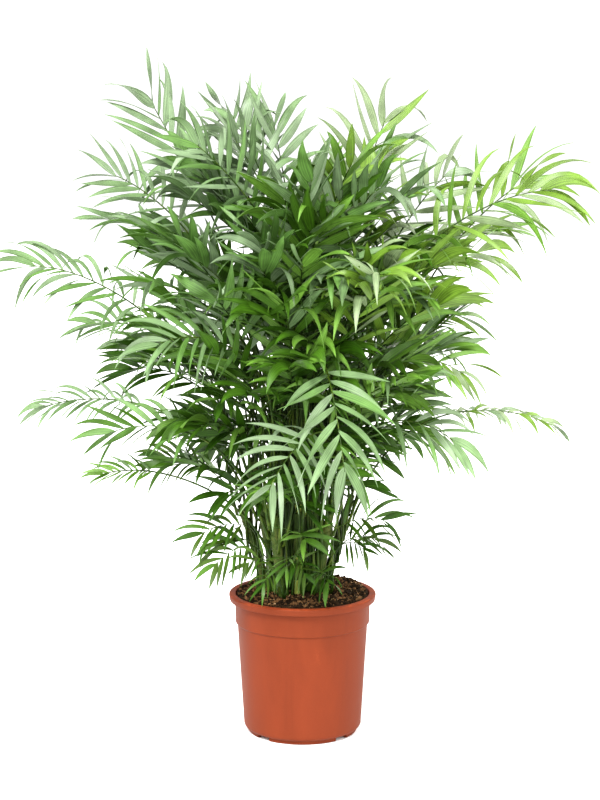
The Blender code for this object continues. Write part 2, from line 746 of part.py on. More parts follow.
def grow_frond(bm, end, order, frond, trees, own):
    # Grows a rib and its leaflets from a triangular face whose vertices, taken in the given
    # order, are the left edge, the right edge and the ridge.
    skipped = 0
    for place in petiole_places():
        end, verts = extend(bm, end, order, rib_ring(frond, place))
    trees = [tree for tree in trees if tree is not frond["rib_tree"]]
    for near, far in root_places(frond):
        end, near_verts = extend(bm, end, order, rib_ring(frond, near))
        end, far_verts = extend(bm, end, order, rib_ring(frond, far))
        for hand, edge in ((-1, 0), (1, 1)):
            ends = {
                near_verts[edge]: (-1, -1),
                near_verts[2]: (-1, 1),
                far_verts[edge]: (1, -1),
                far_verts[2]: (1, 1),
            }
            root = next(
                face for face in near_verts[edge].link_faces if set(face.verts) == set(ends)
            )
            for turn, more, scale in TRIES:
                droop = max(frond["hang"] + more, 0.0)
                point, corners, tip = leaflet_corners(
                    frond, near, far, hand, turn, droop, scale, LEAF_CLEAR
                )
                prism = test_prism(point, corners, tip, ROOT_FREE)
                tree = tree_of([prism])
                outer = tree_of([test_prism(point, corners, tip, PAIR_FREE)])
                if not touches(tree, trees) and not touches(outer, own):
                    _, corners, tip = leaflet_corners(
                        frond, near, far, hand, turn, droop, scale
                    )
                    grow_leaflet(bm, root, ends, corners, tip)
                    own.append(outer)
                    frond["grown"].append(prism)
                    break
            else:
                skipped += 1
    return skipped


def frond_mesh(frond, trees):
    bm = bmesh.new()
    bmesh.ops.create_circle(bm, cap_ends=True, segments=3, radius=RIB_WIDTH)
    end = bm.faces[:][0]
    closing = list(end.verts)
    for vert, place in zip(closing, foot_ring(frond)):
        vert.co = place
    skipped = grow_frond(bm, end, (0, 1, 2), frond, trees, [])
    bm.faces.new(reversed(closing))
    return mesh_from(bm, frond["name"]), skipped


def bud_mesh(bud, trees):
    # A three-sided bud with a flat foot, and a frond out of each side.
    bm = bmesh.new()
    bmesh.ops.create_cone(
        bm, cap_ends=True, segments=3, radius1=bud["radius"], radius2=0.0, depth=bud["height"]
    )
    bmesh.ops.remove_doubles(bm, verts=bm.verts, dist=0.0001)
    tip = max(bm.verts, key=lambda vert: vert.co.z)
    sides = [face for face in bm.faces if tip in face.verts]
    first = sides[0].calc_center_median()
    turn = bud["bearing"] - math.atan2(first.y, first.x)
    bmesh.ops.rotate(bm, verts=bm.verts, cent=(0, 0, 0), matrix=Matrix.Rotation(turn, 3, "Z"))
    rise = Vector((0.0, 0.0, bud["height"] / 2))
    bmesh.ops.translate(bm, verts=bm.verts, vec=bud["base"] + rise)
    bm.normal_update()
    skipped, own = 0, []
    for frond in bud["fronds"]:
        face = max(sides, key=lambda side: side.normal.dot(frond["out"]))
        sides.remove(face)
        across = frond["out"].cross(frond["up"])
        verts = list(face.verts)
        ridge = verts.index(tip)
        edges = [i for i in range(3) if i != ridge]
        edges.sort(key=lambda i: verts[i].co.dot(across))
        skipped += grow_frond(bm, face, (*edges, ridge), frond, trees, own)
    return mesh_from(bm, bud["name"]), skipped


def main():
    for old in list(bpy.data.objects):
        bpy.data.objects.remove(old, do_unlink=True)
    plant = bpy.data.collections.new("parlour palm")
    cutters = bpy.data.collections.new("cutters")
    for collection in (plant, cutters):
        bpy.context.scene.collection.children.link(collection)
    make_pot(plant, cutters)
    bark = principled("cane green", (0.20, 0.27, 0.075), 0.55)
    leaf = principled("leaf green", (0.080, 0.205, 0.040), 0.42)
    canes = lay_out_canes()
    cane_solids = []
    for index, cane in enumerate(canes):
        mesh = cane_mesh(cane, f"cane_{index + 1}")
        add_object(f"cane_{index + 1}", mesh, bark, plant)
        cane_solids.append(
            ([vert.co.copy() for vert in mesh.vertices], [tuple(p.vertices) for p in mesh.polygons])
        )
    singles, buds = lay_out_fronds(canes)
    every = singles + [frond for bud in buds for frond in bud["fronds"]]
    # Leaves stay above the pot, which a square lid over it stands for.
    corners = [(-RIM_RADIUS, -RIM_RADIUS), (RIM_RADIUS, -RIM_RADIUS)]
    corners += [(-x, -y) for x, y in corners]
    lid = ([Vector((x, y, POT_HEIGHT)) for x, y in corners], [(0, 1, 2, 3)])
    fixed = tree_of(cane_solids + [lid])
    for frond in every:
        frond["rib_tree"] = tree_of([rib_solid(frond)])
    ribs = [frond["rib_tree"] for frond in every]
    leaves, skipped = [], 0
    for piece in singles + buds:
        fronds = piece.get("fronds", [piece])
        trees = [fixed, tree_of(leaves), *ribs]
        mesh, missed = (bud_mesh if "fronds" in piece else frond_mesh)(piece, trees)
        leaves.extend(prism for frond in fronds for prism in frond["grown"])
        skipped += missed
        add_object(piece["name"], mesh, leaf, plant)
    print(len(leaves), "leaflets,", skipped, "left out for want of room")


main()
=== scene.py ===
# Parlour palm in its grower's pot: leaves, stalks, canes, soil and pot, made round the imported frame.
# Metres, +Z up, and the photo looks along +Y. The fronds follow the same rule as the solids do.
import json
import math
import random

import bmesh
import bpy
from mathutils import Matrix, Vector, noise

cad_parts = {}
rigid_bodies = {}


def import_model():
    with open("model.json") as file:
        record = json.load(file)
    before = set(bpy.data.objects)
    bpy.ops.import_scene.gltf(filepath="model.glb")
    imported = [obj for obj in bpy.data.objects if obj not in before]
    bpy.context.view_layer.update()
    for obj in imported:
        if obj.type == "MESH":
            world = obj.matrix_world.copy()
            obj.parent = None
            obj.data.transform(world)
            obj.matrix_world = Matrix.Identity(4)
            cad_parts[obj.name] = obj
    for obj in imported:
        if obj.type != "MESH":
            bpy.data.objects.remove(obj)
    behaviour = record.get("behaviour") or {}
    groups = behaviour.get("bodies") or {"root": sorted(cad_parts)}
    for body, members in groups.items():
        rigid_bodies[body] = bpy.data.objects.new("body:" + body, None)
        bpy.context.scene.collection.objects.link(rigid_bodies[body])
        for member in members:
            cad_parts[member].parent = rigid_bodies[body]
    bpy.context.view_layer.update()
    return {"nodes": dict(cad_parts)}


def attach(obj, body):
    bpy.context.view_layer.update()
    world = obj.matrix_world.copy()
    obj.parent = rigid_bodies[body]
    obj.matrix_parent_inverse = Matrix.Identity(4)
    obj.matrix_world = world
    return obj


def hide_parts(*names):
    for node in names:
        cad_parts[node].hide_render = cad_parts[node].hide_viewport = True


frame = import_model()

scene = bpy.context.scene
up = Vector((0.0, 0.0, 1.0))
gap = 0.0003
goldenAngle = math.radians(137.508)
noise.seed_set(7)  # noise_vector starts from the clock without it
print("frame:", len(frame["nodes"]), "nodes")


# Small helpers for materials

def newMaterial(name, colour, roughness, specular):
    material = bpy.data.materials.new(name)
    material.use_nodes = True
    shader = material.node_tree.nodes["Principled BSDF"]
    shader.inputs["Base Color"].default_value = (*colour, 1.0)
    shader.inputs["Roughness"].default_value = roughness
    shader.inputs["Specular IOR Level"].default_value = specular
    return material, material.node_tree, shader


def addNode(tree, kind, sockets=None, **settings):
    node = tree.nodes.new("ShaderNode" + kind)
    for key, value in settings.items():
        setattr(node, key, value)
    for key, value in (sockets or {}).items():
        node.inputs[key].default_value = value
    return node


def objectPlace(tree, scale=(1.0, 1.0, 1.0)):
    coordinates = addNode(tree, "TexCoord")
    mapping = addNode(tree, "Mapping", {"Scale": scale})
    tree.links.new(coordinates.outputs["Object"], mapping.inputs["Vector"])
    return mapping.outputs["Vector"]


def noiseAt(tree, place, scale, detail=3.0, roughness=0.5, distortion=0.0):
    sockets = {"Scale": scale, "Detail": detail, "Roughness": roughness, "Distortion": distortion}
    node = addNode(tree, "TexNoise", sockets)
    tree.links.new(place, node.inputs["Vector"])
    return node.outputs["Fac"]


def mathNode(tree, operation, first, second):
    node = addNode(tree, "Math", operation=operation)
    for socket, value in zip(node.inputs, (first, second)):
        if isinstance(value, float):
            socket.default_value = value
        else:
            tree.links.new(value, socket)
    return node.outputs["Value"]


def rampOf(tree, source, stops):
    node = addNode(tree, "ValToRGB")
    elements = node.color_ramp.elements
    while len(elements) < len(stops):
        elements.new(0.5)
    for element, (place, colour) in zip(elements, stops):
        element.position = place
        element.color = (*colour, 1.0)
    tree.links.new(source, node.inputs["Fac"])
    return node.outputs["Color"]


def mixOf(tree, first, second, share):
    products = mathNode(tree, "MULTIPLY", first, share), mathNode(tree, "MULTIPLY", second, 1.0 - share)
    return mathNode(tree, "ADD", *products)


def shadeOf(colour, amount):
    return tuple(min(channel * amount, 1.0) for channel in colour)


def shades(colour, *rows):
    return [(place, shadeOf(colour, amount)) for place, amount in rows]


def linkBump(tree, shader, height, strength, distance):
    node = addNode(tree, "Bump", {"Strength": strength, "Distance": distance})
    tree.links.new(height, node.inputs["Height"])
    tree.links.new(node.outputs["Normal"], shader.inputs["Normal"])


def rangeOf(tree, source, low, high, start=0.3, end=0.7):
    node = addNode(tree, "MapRange", {"From Min": start, "From Max": end, "To Min": low, "To Max": high})
    tree.links.new(source, node.inputs["Value"])
    return node.outputs["Result"]


# Small helpers for meshes

def finishPiece(name, bm, material, nodes=(), sharpAngle=None):
    mesh = bpy.data.meshes.new(name)
    bm.to_mesh(mesh)
    bm.free()
    mesh.materials.append(material)
    mesh.shade_smooth()
    if sharpAngle is not None:
        mesh.set_sharp_from_angle(angle=math.radians(sharpAngle))
    piece = bpy.data.objects.new(name, mesh)
    scene.collection.objects.link(piece)
    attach(piece, "root")
    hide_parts(*nodes)
    return piece


def moveInto(bm, part):
    # Small bmeshes are grown one by one and moved into the large one, which is much quicker.
    mesh = bpy.data.meshes.new("part")
    part.to_mesh(mesh)
    part.free()
    bm.from_mesh(mesh)
    bpy.data.meshes.remove(mesh)


def growTube(centres, radii, sides, closed=True):
    # One ring for each centre, on a frame that turns as little as it can along the way.
    bm = bmesh.new()
    made = bmesh.ops.create_circle(bm, cap_ends=True, segments=sides, radius=1.0)
    end = made["verts"][0].link_faces[0]
    closing = list(end.verts)
    turns = [Vector((vert.co.x, vert.co.y)) for vert in closing]
    side = None
    for index, (centre, radius) in enumerate(zip(centres, radii)):
        before = centres[max(index - 1, 0)]
        after = centres[min(index + 1, len(centres) - 1)]
        heading = (after - before).normalized()
        start = side or heading.orthogonal()
        side = (start - heading * start.dot(heading)).normalized()
        other = heading.cross(side)
        if index:
            end = bmesh.ops.extrude_discrete_faces(bm, faces=[end])["faces"][0]
        for vert, turn in zip(end.verts, turns):
            vert.co = centre + (side * turn.x + other * turn.y) * radius
    if closed:
        bm.faces.new(reversed(closing))
    else:
        bm.faces.remove(end)
    return bm


def arcPoints(x, y, radius, start, end, steps):
    angles = [math.radians(start + (end - start) * i / steps) for i in range(steps + 1)]
    return [(x + radius * math.cos(a), y + radius * math.sin(a)) for a in angles]


def eitherWay(draw, most):
    return draw.uniform(-most, most)


def spinProfile(profile, steps):
    # Turns a profile of (radius, height) that starts and ends on the axis into a closed shape.
    bm = bmesh.new()
    verts = [bm.verts.new((radius, 0.0, height)) for radius, height in profile]
    edges = [bm.edges.new(pair) for pair in zip(verts, verts[1:])]
    bmesh.ops.spin(
        bm, geom=verts + edges, cent=(0, 0, 0), axis=(0, 0, 1), angle=math.tau, steps=steps, use_merge=True
    )
    bmesh.ops.remove_doubles(bm, verts=bm.verts, dist=0.00002)
    bmesh.ops.recalc_face_normals(bm, faces=bm.faces)
    return bm


# Pot

pot = {
    "height": 0.23,
    "rimRadius": 0.12,
    "rimInner": 0.1085,
    "lipHeight": 0.011,
    "lipRound": 0.003,
    "innerRound": 0.0022,
    "lipDraft": 0.0012,
    "fillet": 0.0016,
    "collarRadius": 0.1102,
    "collarHeight": 0.038,
    "collarDraft": 0.0008,
    "collarStep": 0.003,
    "wallTop": 0.1062,
    "baseRadius": 0.0962,
    "cornerRound": 0.007,
    "cornerTop": 0.02,
    "wall": 0.0022,
    "footHeight": 0.006,
    "footWidth": 0.007,
    "footRadius": 0.0895,
    "footRound": 0.0012,
    "centreFoot": 0.02,
    "footGap": 0.025,
    "drain": 0.012,
    "drainRadius": 0.0729,
    "sides": 144,
    "colour": (0.134, 0.0276, 0.01),
}
lipBottom = pot["height"] - pot["lipHeight"]
collarBottom = lipBottom - pot["collarHeight"]


def wallRadius(height):
    share = (height - pot["footHeight"]) / (collarBottom - pot["footHeight"])
    return pot["baseRadius"] + (pot["wallTop"] - pot["baseRadius"]) * min(max(share, 0.0), 1.0)


def potProfile():
    # Up the inside, over the lip and down the outside. A point is its radius and height, and an arc
    # is its centre, radius, first and last angle and steps.
    wall, fillet, inner = pot["wall"], pot["fillet"], pot["cornerRound"] * 0.8
    floor = pot["footHeight"] + wall
    step, blend = pot["collarStep"], pot["collarStep"] * 0.7
    innerRound, lipRound, footRound = pot["innerRound"], pot["lipRound"], pot["footRound"]
    lipEdge = pot["rimRadius"] - pot["lipDraft"]
    collarEdge = pot["collarRadius"] - pot["collarDraft"]
    footInner = pot["footRadius"] - pot["footWidth"]
    corner = pot["cornerRound"]
    rows = [
        (0.0, floor),
        (pot["baseRadius"] - wall - inner, floor + inner, inner, -90, -5, 6),
        (wallRadius(pot["cornerTop"]) - wall, pot["cornerTop"]),
        (pot["wallTop"] - wall, collarBottom),
        (pot["collarRadius"] - wall - fillet, collarBottom + step),
        (pot["rimInner"] - wall / 2, lipBottom),
        (pot["rimInner"] + innerRound, pot["height"] - innerRound, innerRound, 180, 90, 5),
        (pot["rimRadius"] - lipRound, pot["height"] - lipRound, lipRound, 90, 0, 7),
        (lipEdge - fillet / 2, lipBottom + fillet / 2, fillet / 2, 0, -90, 3),
        (pot["collarRadius"] + fillet, lipBottom - fillet, fillet, 90, 180, 3),
        (collarEdge - fillet, collarBottom + blend, fillet, 0, -60, 4),
        (pot["wallTop"] + fillet, collarBottom - blend, fillet, 120, 180, 4),
        (pot["baseRadius"] - corner, pot["footHeight"] + corner, corner, 0, -85, 8),
        (pot["footRadius"], pot["footHeight"]),
        (pot["footRadius"] - footRound, footRound, footRound, 0, -90, 3),
        (footInner + footRound, footRound, footRound, -90, -180, 3),
        (footInner, pot["footHeight"]),
        (pot["centreFoot"], pot["footHeight"]),
        (pot["centreFoot"] - footRound, footRound, footRound, 0, -90, 3),
        (0.0, 0.0),
    ]
    return [point for row in rows for point in (arcPoints(*row) if len(row) > 2 else [row])]


def cutFootAndDrains(bm):
    # Gaps between the four segments of the foot, and a drain hole beside each.
    mesh = bpy.data.meshes.new("pot_blank")
    bm.to_mesh(mesh)
    bm.free()
    blank = bpy.data.objects.new("pot_blank", mesh)
    cutters = bpy.data.collections.new("pot_cutters")
    scene.collection.objects.link(blank)
    scene.collection.children.link(cutters)
    for quarter in range(4):
        turn = Matrix.Rotation(math.radians(45 + 90 * quarter), 4, "Z")
        cutter = bmesh.new()
        footMiddle = pot["footRadius"] - pot["footWidth"] / 2
        size = Matrix.Diagonal((pot["footWidth"] * 2, pot["footGap"], pot["footHeight"] * 2, 1.0))
        place = turn @ Matrix.Translation((footMiddle, 0.0, 0.0)) @ size
        bmesh.ops.create_cube(cutter, size=1.0, matrix=place)
        place = turn @ Matrix.Translation((pot["drainRadius"], 0.0, pot["footHeight"]))
        bmesh.ops.create_cone(
            cutter, cap_ends=True, segments=32, radius1=pot["drain"] / 2, radius2=pot["drain"] / 2,
            depth=pot["footHeight"] * 2, matrix=place,
        )
        cutterMesh = bpy.data.meshes.new("cutter")
        cutter.to_mesh(cutterMesh)
        cutter.free()
        cutters.objects.link(bpy.data.objects.new(f"pot_cutter_{quarter}", cutterMesh))
    cut = blank.modifiers.new("cut", "BOOLEAN")
    cut.operand_type = "COLLECTION"
    cut.collection = cutters
    bpy.context.view_layer.update()
    done = bpy.data.meshes.new_from_object(blank.evaluated_get(bpy.context.evaluated_depsgraph_get()))
    result = bmesh.new()
    result.from_mesh(done)
    for old in [*cutters.objects, blank]:
        bpy.data.objects.remove(old, do_unlink=True)
    bpy.data.collections.remove(cutters)
    return result


def plasticMaterial():
    material, tree, shader = newMaterial("terracotta_plastic", pot["colour"], 0.55, 0.1)
    place = objectPlace(tree)
    flow = noiseAt(tree, objectPlace(tree, (1.0, 1.0, 0.22)), 26.0, 4.0, 0.55, 0.6)
    grain = noiseAt(tree, place, 900.0, 2.0)
    # The top of the lip is paler than the wall: partly a real rubbed edge, partly painted light where the
    # crown shades it.
    split = addNode(tree, "SeparateXYZ")
    tree.links.new(place, split.inputs["Vector"])
    lipWearAndPaintedLight = rangeOf(tree, split.outputs["Z"], 0.0, 0.3, pot["height"] - pot["lipRound"], pot["height"])
    mixed = mathNode(tree, "ADD", mixOf(tree, flow, grain, 0.7), lipWearAndPaintedLight)
    # The palest stop is reached mostly on the top of the lip, with its painted light.
    stops = shades(pot["colour"], (0.36, 0.9), (0.52, 1.0), (0.66, 1.1), (0.82, 2.0))
    tree.links.new(rampOf(tree, mixed, stops), shader.inputs["Base Color"])
    tree.links.new(rangeOf(tree, flow, 0.48, 0.62), shader.inputs["Roughness"])
    linkBump(tree, shader, grain, 0.22, 0.0005)
    return material


def makePot():
    bm = cutFootAndDrains(spinProfile(potProfile(), pot["sides"]))
    finishPiece("grower_pot", bm, plasticMaterial(), ["pot"], 40)
    print("pot: turned and cut")


makePot()


# Soil

soil = {
    "level": 0.222,  # where the canes' feet are
    "rise": 0.0115,  # the heaped soil stands this far above that
    "edgeDrop": 0.0045,
    "heap": 0.0065,  # a heap at the back right
    "heapPlace": (0.062, 0.06),
    "heapRadius": 0.045,
    "rings": 44,
    "steps": 132,
    # size, fineness and shift of each wave of the surface
    "waves": ((0.0026, 22.0, 0.0), (0.0022, 75.0, 1.0), (0.0013, 230.0, 3.0)),
    "depth": 0.03,
}
crumbLook = {
    "sizes": (0.6, 1.0),  # share of the size drawn for its kind
    "shape": ((0.7, 1.3), (0.6, 1.0), (0.45, 0.9)),
    "lift": 0.2,  # of its size, above the soil
    "grain": 700.0,
    "rough": 0.45,
}
# Crumbs: name, count, colour, least and largest size, seed
crumbRows = [
    ("soil_crumbs_dark", 1000, (0.022, 0.012, 0.005), (0.0018, 0.006), 11),
    ("soil_crumbs_brown", 1000, (0.13, 0.07, 0.031), (0.0012, 0.005), 12),
    ("soil_bark", 130, (0.38, 0.24, 0.135), (0.001, 0.0034), 13),
]
fibre = {
    "count": 90,
    "reach": 0.93,  # share of the soil's radius within which they start
    "edge": 0.96,  # and within which they stay
    "start": 0.0012,
    "joints": 6,
    "step": (0.0018, 0.0046),
    "wander": 0.6,
    "lift": (0.0006, 0.0024),
    "radius": (0.00025, 0.0005),
    "tip": 0.4,  # share of the radius at the end
}
soilRadius = pot["rimInner"] - pot["wall"] / 2 - 0.0006


def soilHeight(x, y):
    reach = min(math.hypot(x, y) / soilRadius, 1.0)
    height = soil["level"] + soil["rise"] - soil["edgeDrop"] * reach**4
    for size, fineness, shift in soil["waves"]:
        height += size * noise.noise(Vector((x, y, 0.0)) * fineness + up * shift)
    away = math.hypot(x - soil["heapPlace"][0], y - soil["heapPlace"][1]) / soil["heapRadius"]
    return height + soil["heap"] * math.exp(-away * away)


def soilMaterial(name, colour, spread):
    material, tree, shader = newMaterial(name, colour, 0.95, 0.15)
    place = objectPlace(tree)
    patches = noiseAt(tree, place, 260.0, 4.0, 0.6)
    stops = shades(colour, (0.34, 1.0 - spread), (0.52, 1.0), (0.7, 1.0 + 2.2 * spread))
    tree.links.new(rampOf(tree, patches, stops), shader.inputs["Base Color"])
    linkBump(tree, shader, noiseAt(tree, place, 620.0, 5.0, 0.7), 0.8, 0.0016)
    return material


def onSoil(draw, reach=0.97):
    bearing = draw.uniform(0.0, math.tau)
    radius = soilRadius * reach * math.sqrt(draw.random())
    x, y = radius * math.cos(bearing), radius * math.sin(bearing)
    return Vector((x, y, soilHeight(x, y)))


def makeSoil():
    radii = [soilRadius * i / soil["rings"] for i in range(soil["rings"] + 1)]
    deep = soil["level"] - soil["depth"]
    profile = [(radius, soil["level"]) for radius in radii]
    profile += [(wallRadius(deep) - pot["wall"] - gap, deep), (0.0, deep)]
    bm = spinProfile(profile, soil["steps"])
    for vert in bm.verts:
        if vert.co.z > deep + gap:
            vert.co.z = soilHeight(vert.co.x, vert.co.y)
    material = soilMaterial("soil_bed", (0.022, 0.012, 0.005), 0.7)
    finishPiece("soil_bed", bm, material, ["soil"])


def makeCrumbs(name, count, colour, sizes, seed):
    draw = random.Random(seed)
    bm = bmesh.new()
    for _ in range(count):
        size = draw.uniform(*sizes) * draw.uniform(*crumbLook["sizes"])
        angle = draw.uniform(0.0, math.tau)
        turn = Matrix.Rotation(angle, 4, (draw.random(), draw.random(), draw.random() + 0.1))
        flat = Matrix.Diagonal([*(draw.uniform(*span) for span in crumbLook["shape"]), 1.0])
        place = Matrix.Translation(onSoil(draw) + up * size * crumbLook["lift"]) @ turn @ flat
        crumb = bmesh.new()
        bmesh.ops.create_icosphere(crumb, subdivisions=1, radius=size, matrix=place)
        for vert in crumb.verts:
            vert.co += noise.noise_vector(vert.co * crumbLook["grain"]) * size * crumbLook["rough"]
        moveInto(bm, crumb)
    finishPiece(name, bm, soilMaterial(name, colour, 0.35), sharpAngle=50)


def makeFibres():
    draw = random.Random(5)
    bm = bmesh.new()
    for _ in range(fibre["count"]):
        point = onSoil(draw, fibre["reach"]) + up * fibre["start"]
        bearing = draw.uniform(0.0, math.tau)
        step = draw.uniform(*fibre["step"])
        centres = []
        for _ in range(fibre["joints"]):
            centres.append(point.copy())
            bearing += eitherWay(draw, fibre["wander"])
            point = point + Vector((math.cos(bearing) * step, math.sin(bearing) * step, 0.0))
            if math.hypot(point.x, point.y) > soilRadius * fibre["edge"]:
                break
            point.z = soilHeight(point.x, point.y) + draw.uniform(*fibre["lift"])
        if len(centres) > 2:
            radius = draw.uniform(*fibre["radius"])
            radii = [radius] * (len(centres) - 1) + [radius * fibre["tip"]]
            moveInto(bm, growTube(centres, radii, 4))
    material = soilMaterial("soil_fibre", (0.3, 0.2, 0.1), 0.3)
    finishPiece("soil_fibres", bm, material)


makeSoil()
for row in crumbRows:
    makeCrumbs(*row)
makeFibres()
print("soil: bed, crumbs and fibres")


# Canes, set out like the seeds of a sunflower

clump = {
    "centre": Vector((-0.01, 0.0, 0.0)),
    "radius": 0.056,
    "count": 10,
    "tall": 0.311,
    "short": 0.136,
    "lean": 0.34,
    "foot": 0.0066,
    "top": 0.0044,
    "rings": 4,
}


def layOutCanes():
    canes = []
    for i in range(clump["count"]):
        share = (i + 0.5) / clump["count"]
        bearing = i * goldenAngle
        out = Vector((math.cos(bearing), math.sin(bearing), 0.0))
        foot = clump["centre"] + out * clump["radius"] * math.sqrt(share)
        foot.z = soil["level"] + gap
        height = clump["tall"] + (clump["short"] - clump["tall"]) * share
        canes.append({"foot": foot, "height": height, "lean": out * clump["lean"] * share, "feet": []})
    return canes


def caneAt(cane, height):
    share = height / cane["height"]
    bend = 0.5 + 0.5 * share
    centre = cane["foot"] + cane["lean"] * height * bend + up * height
    return centre, clump["foot"] + (clump["top"] - clump["foot"]) * share


# Fronds: where each stalk leaves its cane, and the curves of stalk and blade

stalk = {
    "width": 0.0036,
    "heel": 0.007,
    "footStep": 0.016,
    "feetPerCane": 6,
    "lowestFoot": 0.006,
    "highEnough": 0.044,
    "share": 0.55,
    "spare": 0.1,
    "crowding": 0.015,
    "shortness": 0.5,  # how much a cane that is too short counts as one further off
    "rings": 5,
    "splay": 0.3,
    "rise": 0.38,
    "run": 0.34,
    "clear": 0.005,
    "swings": (0, 20, -20, 40, -40, 60, -60, 85, -85),
    "nudges": (0.0, 0.01, -0.01, 0.02, -0.02, 0.035, -0.035),
}
bud = {
    "heartHeight": 0.014,
    "heartShare": 0.95,
    "heartLift": 0.03,
    "tallCane": 0.24,
    "turns": (30, 60, 0, 90),
    "shootHeight": 0.03,
    "shootRadius": 0.0046,
    "shootPairs": 4,
    "shootRise": 0.01,
    "shootHang": 0.6,
}
leaflet = {
    "rootWidth": 0.0055,
    "rootAngle": 62.0,
    "endAngle": 26.0,
    "hang": 0.45,
    "lift": 0.22,
    "slender": 0.108,  # width of a leaflet for each metre of its length
    "spacing": 0.19,  # between pairs, for each metre of their length
    "rows": 9,
    "keel": 0.045,
    "thickness": 0.0006,
    "roll": 0.55,
    "twist": 1.0,
    "limp": 0.14,  # share of the leaflets that hang much more
    "limpDroop": (0.5, 1.2),
    "leastDroop": -0.15,
    "hangShare": (0.2, 1.05),
    "stray": 0.14,
    "angleStray": 6.0,
    "lengths": (0.92, 1.1),
    "widths": (0.85, 1.12),
    "sickle": (-0.1, 0.45),
    "lastPair": (0.9, 1.3, 4.0),  # shorter, broader and closed by this angle
    "place": 0.62,  # of a pair, in its own share of the rib
    "stagger": 0.14,  # of the pair's two leaflets, either way
    "lastPlace": 0.985,
    "broadening": (0.88, 0.18),  # share of the width at the frond's start, and what its tip adds
    "droopTurn": 2.1,
    "droopCurve": 1.6,
}

# Fronds of the outline: name, start of the blade, tip of its rib, rise of the arch, how far it
# faces forward, hang and length of its leaflets, pairs on its solid, and its colour.
outlineRows = [
    ("top_left", (-0.152, 0.09, 0.845), (-0.25, 0.15, 1.022), 0.004, 78, 0.35, 0.114, 8, "silver"),
    ("top_mid_left", (-0.078, 0.07, 0.815), (-0.112, 0.09, 0.998), 0.004, 84, 0.1, 0.1, 7, "silver"),
    ("upper_left", (-0.07, -0.05, 0.85), (-0.165, -0.07, 0.955), 0.01, 62, 0.3, 0.095, 6, "sage"),
    ("left_high", (-0.19, 0.04, 0.82), (-0.305, 0.06, 0.905), 0.014, 58, 0.45, 0.095, 7, "silver"),
    ("left_long", (-0.24, -0.03, 0.682), (-0.422, -0.05, 0.766), 0.024, 44, 0.9, 0.098, 8, "sage"),
    ("left_edge", (-0.22, 0.06, 0.64), (-0.345, 0.1, 0.66), 0.014, 30, 0.45, 0.092, 6, "sage"),
    ("left_waist", (-0.17, 0.03, 0.565), (-0.28, 0.05, 0.59), 0.016, 34, 0.6, 0.092, 6, "deep"),
    ("left_low_long", (-0.25, -0.02, 0.54), (-0.412, -0.03, 0.54), 0.016, 26, 1.1, 0.075, 7, "sage"),
    ("left_low", (-0.17, -0.08, 0.502), (-0.296, -0.11, 0.512), 0.016, 40, 0.6, 0.09, 6, "blue"),
    ("left_thin", (-0.236, -0.05, 0.438), (-0.318, -0.06, 0.436), 0.006, 30, 0.55, 0.05, 4, "moss"),
    ("front", (0.035, -0.225, 0.625), (0.06, -0.335, 0.49), 0.022, 60, 0.3, 0.118, 8, "sage"),
    ("front_low", (0.02, -0.2, 0.525), (-0.048, -0.31, 0.462), 0.018, 58, 0.5, 0.105, 7, "silver"),
    ("front_left", (-0.095, -0.15, 0.64), (-0.215, -0.24, 0.662), 0.024, 46, 0.75, 0.102, 7, "sage"),
    ("front_high", (0.005, -0.09, 0.715), (0.065, -0.22, 0.765), 0.022, 40, 0.8, 0.112, 7, "sage"),
    ("middle_up", (0.018, -0.07, 0.735), (0.06, -0.11, 0.88), 0.006, 66, 0.3, 0.11, 6, "blue"),
    ("top_right", (0.082, 0.13, 0.835), (0.138, 0.17, 0.992), 0.01, 84, 0.35, 0.12, 7, "lime"),
    ("right_top", (0.145, 0.06, 0.79), (0.235, 0.09, 0.905), 0.012, 62, 0.5, 0.108, 6, "lime"),
    ("right_high", (0.2, -0.04, 0.802), (0.378, -0.07, 0.884), 0.022, 44, 0.75, 0.132, 8, "fresh"),
    ("right_back", (0.255, 0.08, 0.8), (0.365, 0.11, 0.892), 0.012, 56, 0.55, 0.118, 6, "fresh"),
    ("right_middle", (0.16, 0.0, 0.715), (0.285, 0.02, 0.78), 0.022, 36, 0.8, 0.115, 7, "fresh"),
    ("right_inner", (0.15, 0.05, 0.645), (0.258, 0.07, 0.675), 0.02, 34, 0.75, 0.095, 6, "moss"),
    ("right_waist", (0.14, -0.06, 0.61), (0.25, -0.09, 0.6), 0.022, 38, 0.6, 0.09, 6, "moss"),
    ("right_long", (0.23, 0.0, 0.522), (0.402, 0.0, 0.506), 0.02, 14, 1.6, 0.058, 8, "lime"),
    ("right_low", (0.13, -0.1, 0.525), (0.235, -0.14, 0.5), 0.02, 40, 0.8, 0.105, 6, "sage"),
    ("right_hang", (0.12, 0.01, 0.505), (0.215, 0.02, 0.475), 0.02, 30, 1.1, 0.095, 5, "moss"),
]

# Tiers in front and behind: name, count, first and last bearing, radius and height of the blade's
# start and of its tip, rise, leaflet length, pairs, colour.
tierRows = [
    ("fore", 2, 225, 300, 0.16, 0.7, 0.31, 0.77, 0.022, 0.105, 6, "moss"),
    ("back_high", 3, 30, 150, 0.16, 0.74, 0.34, 0.83, 0.02, 0.108, 6, "fresh"),
    ("back_middle", 3, 45, 140, 0.17, 0.59, 0.37, 0.62, 0.022, 0.105, 6, "moss"),
    ("back_low", 2, 60, 125, 0.15, 0.46, 0.31, 0.46, 0.02, 0.095, 5, "deep"),
]

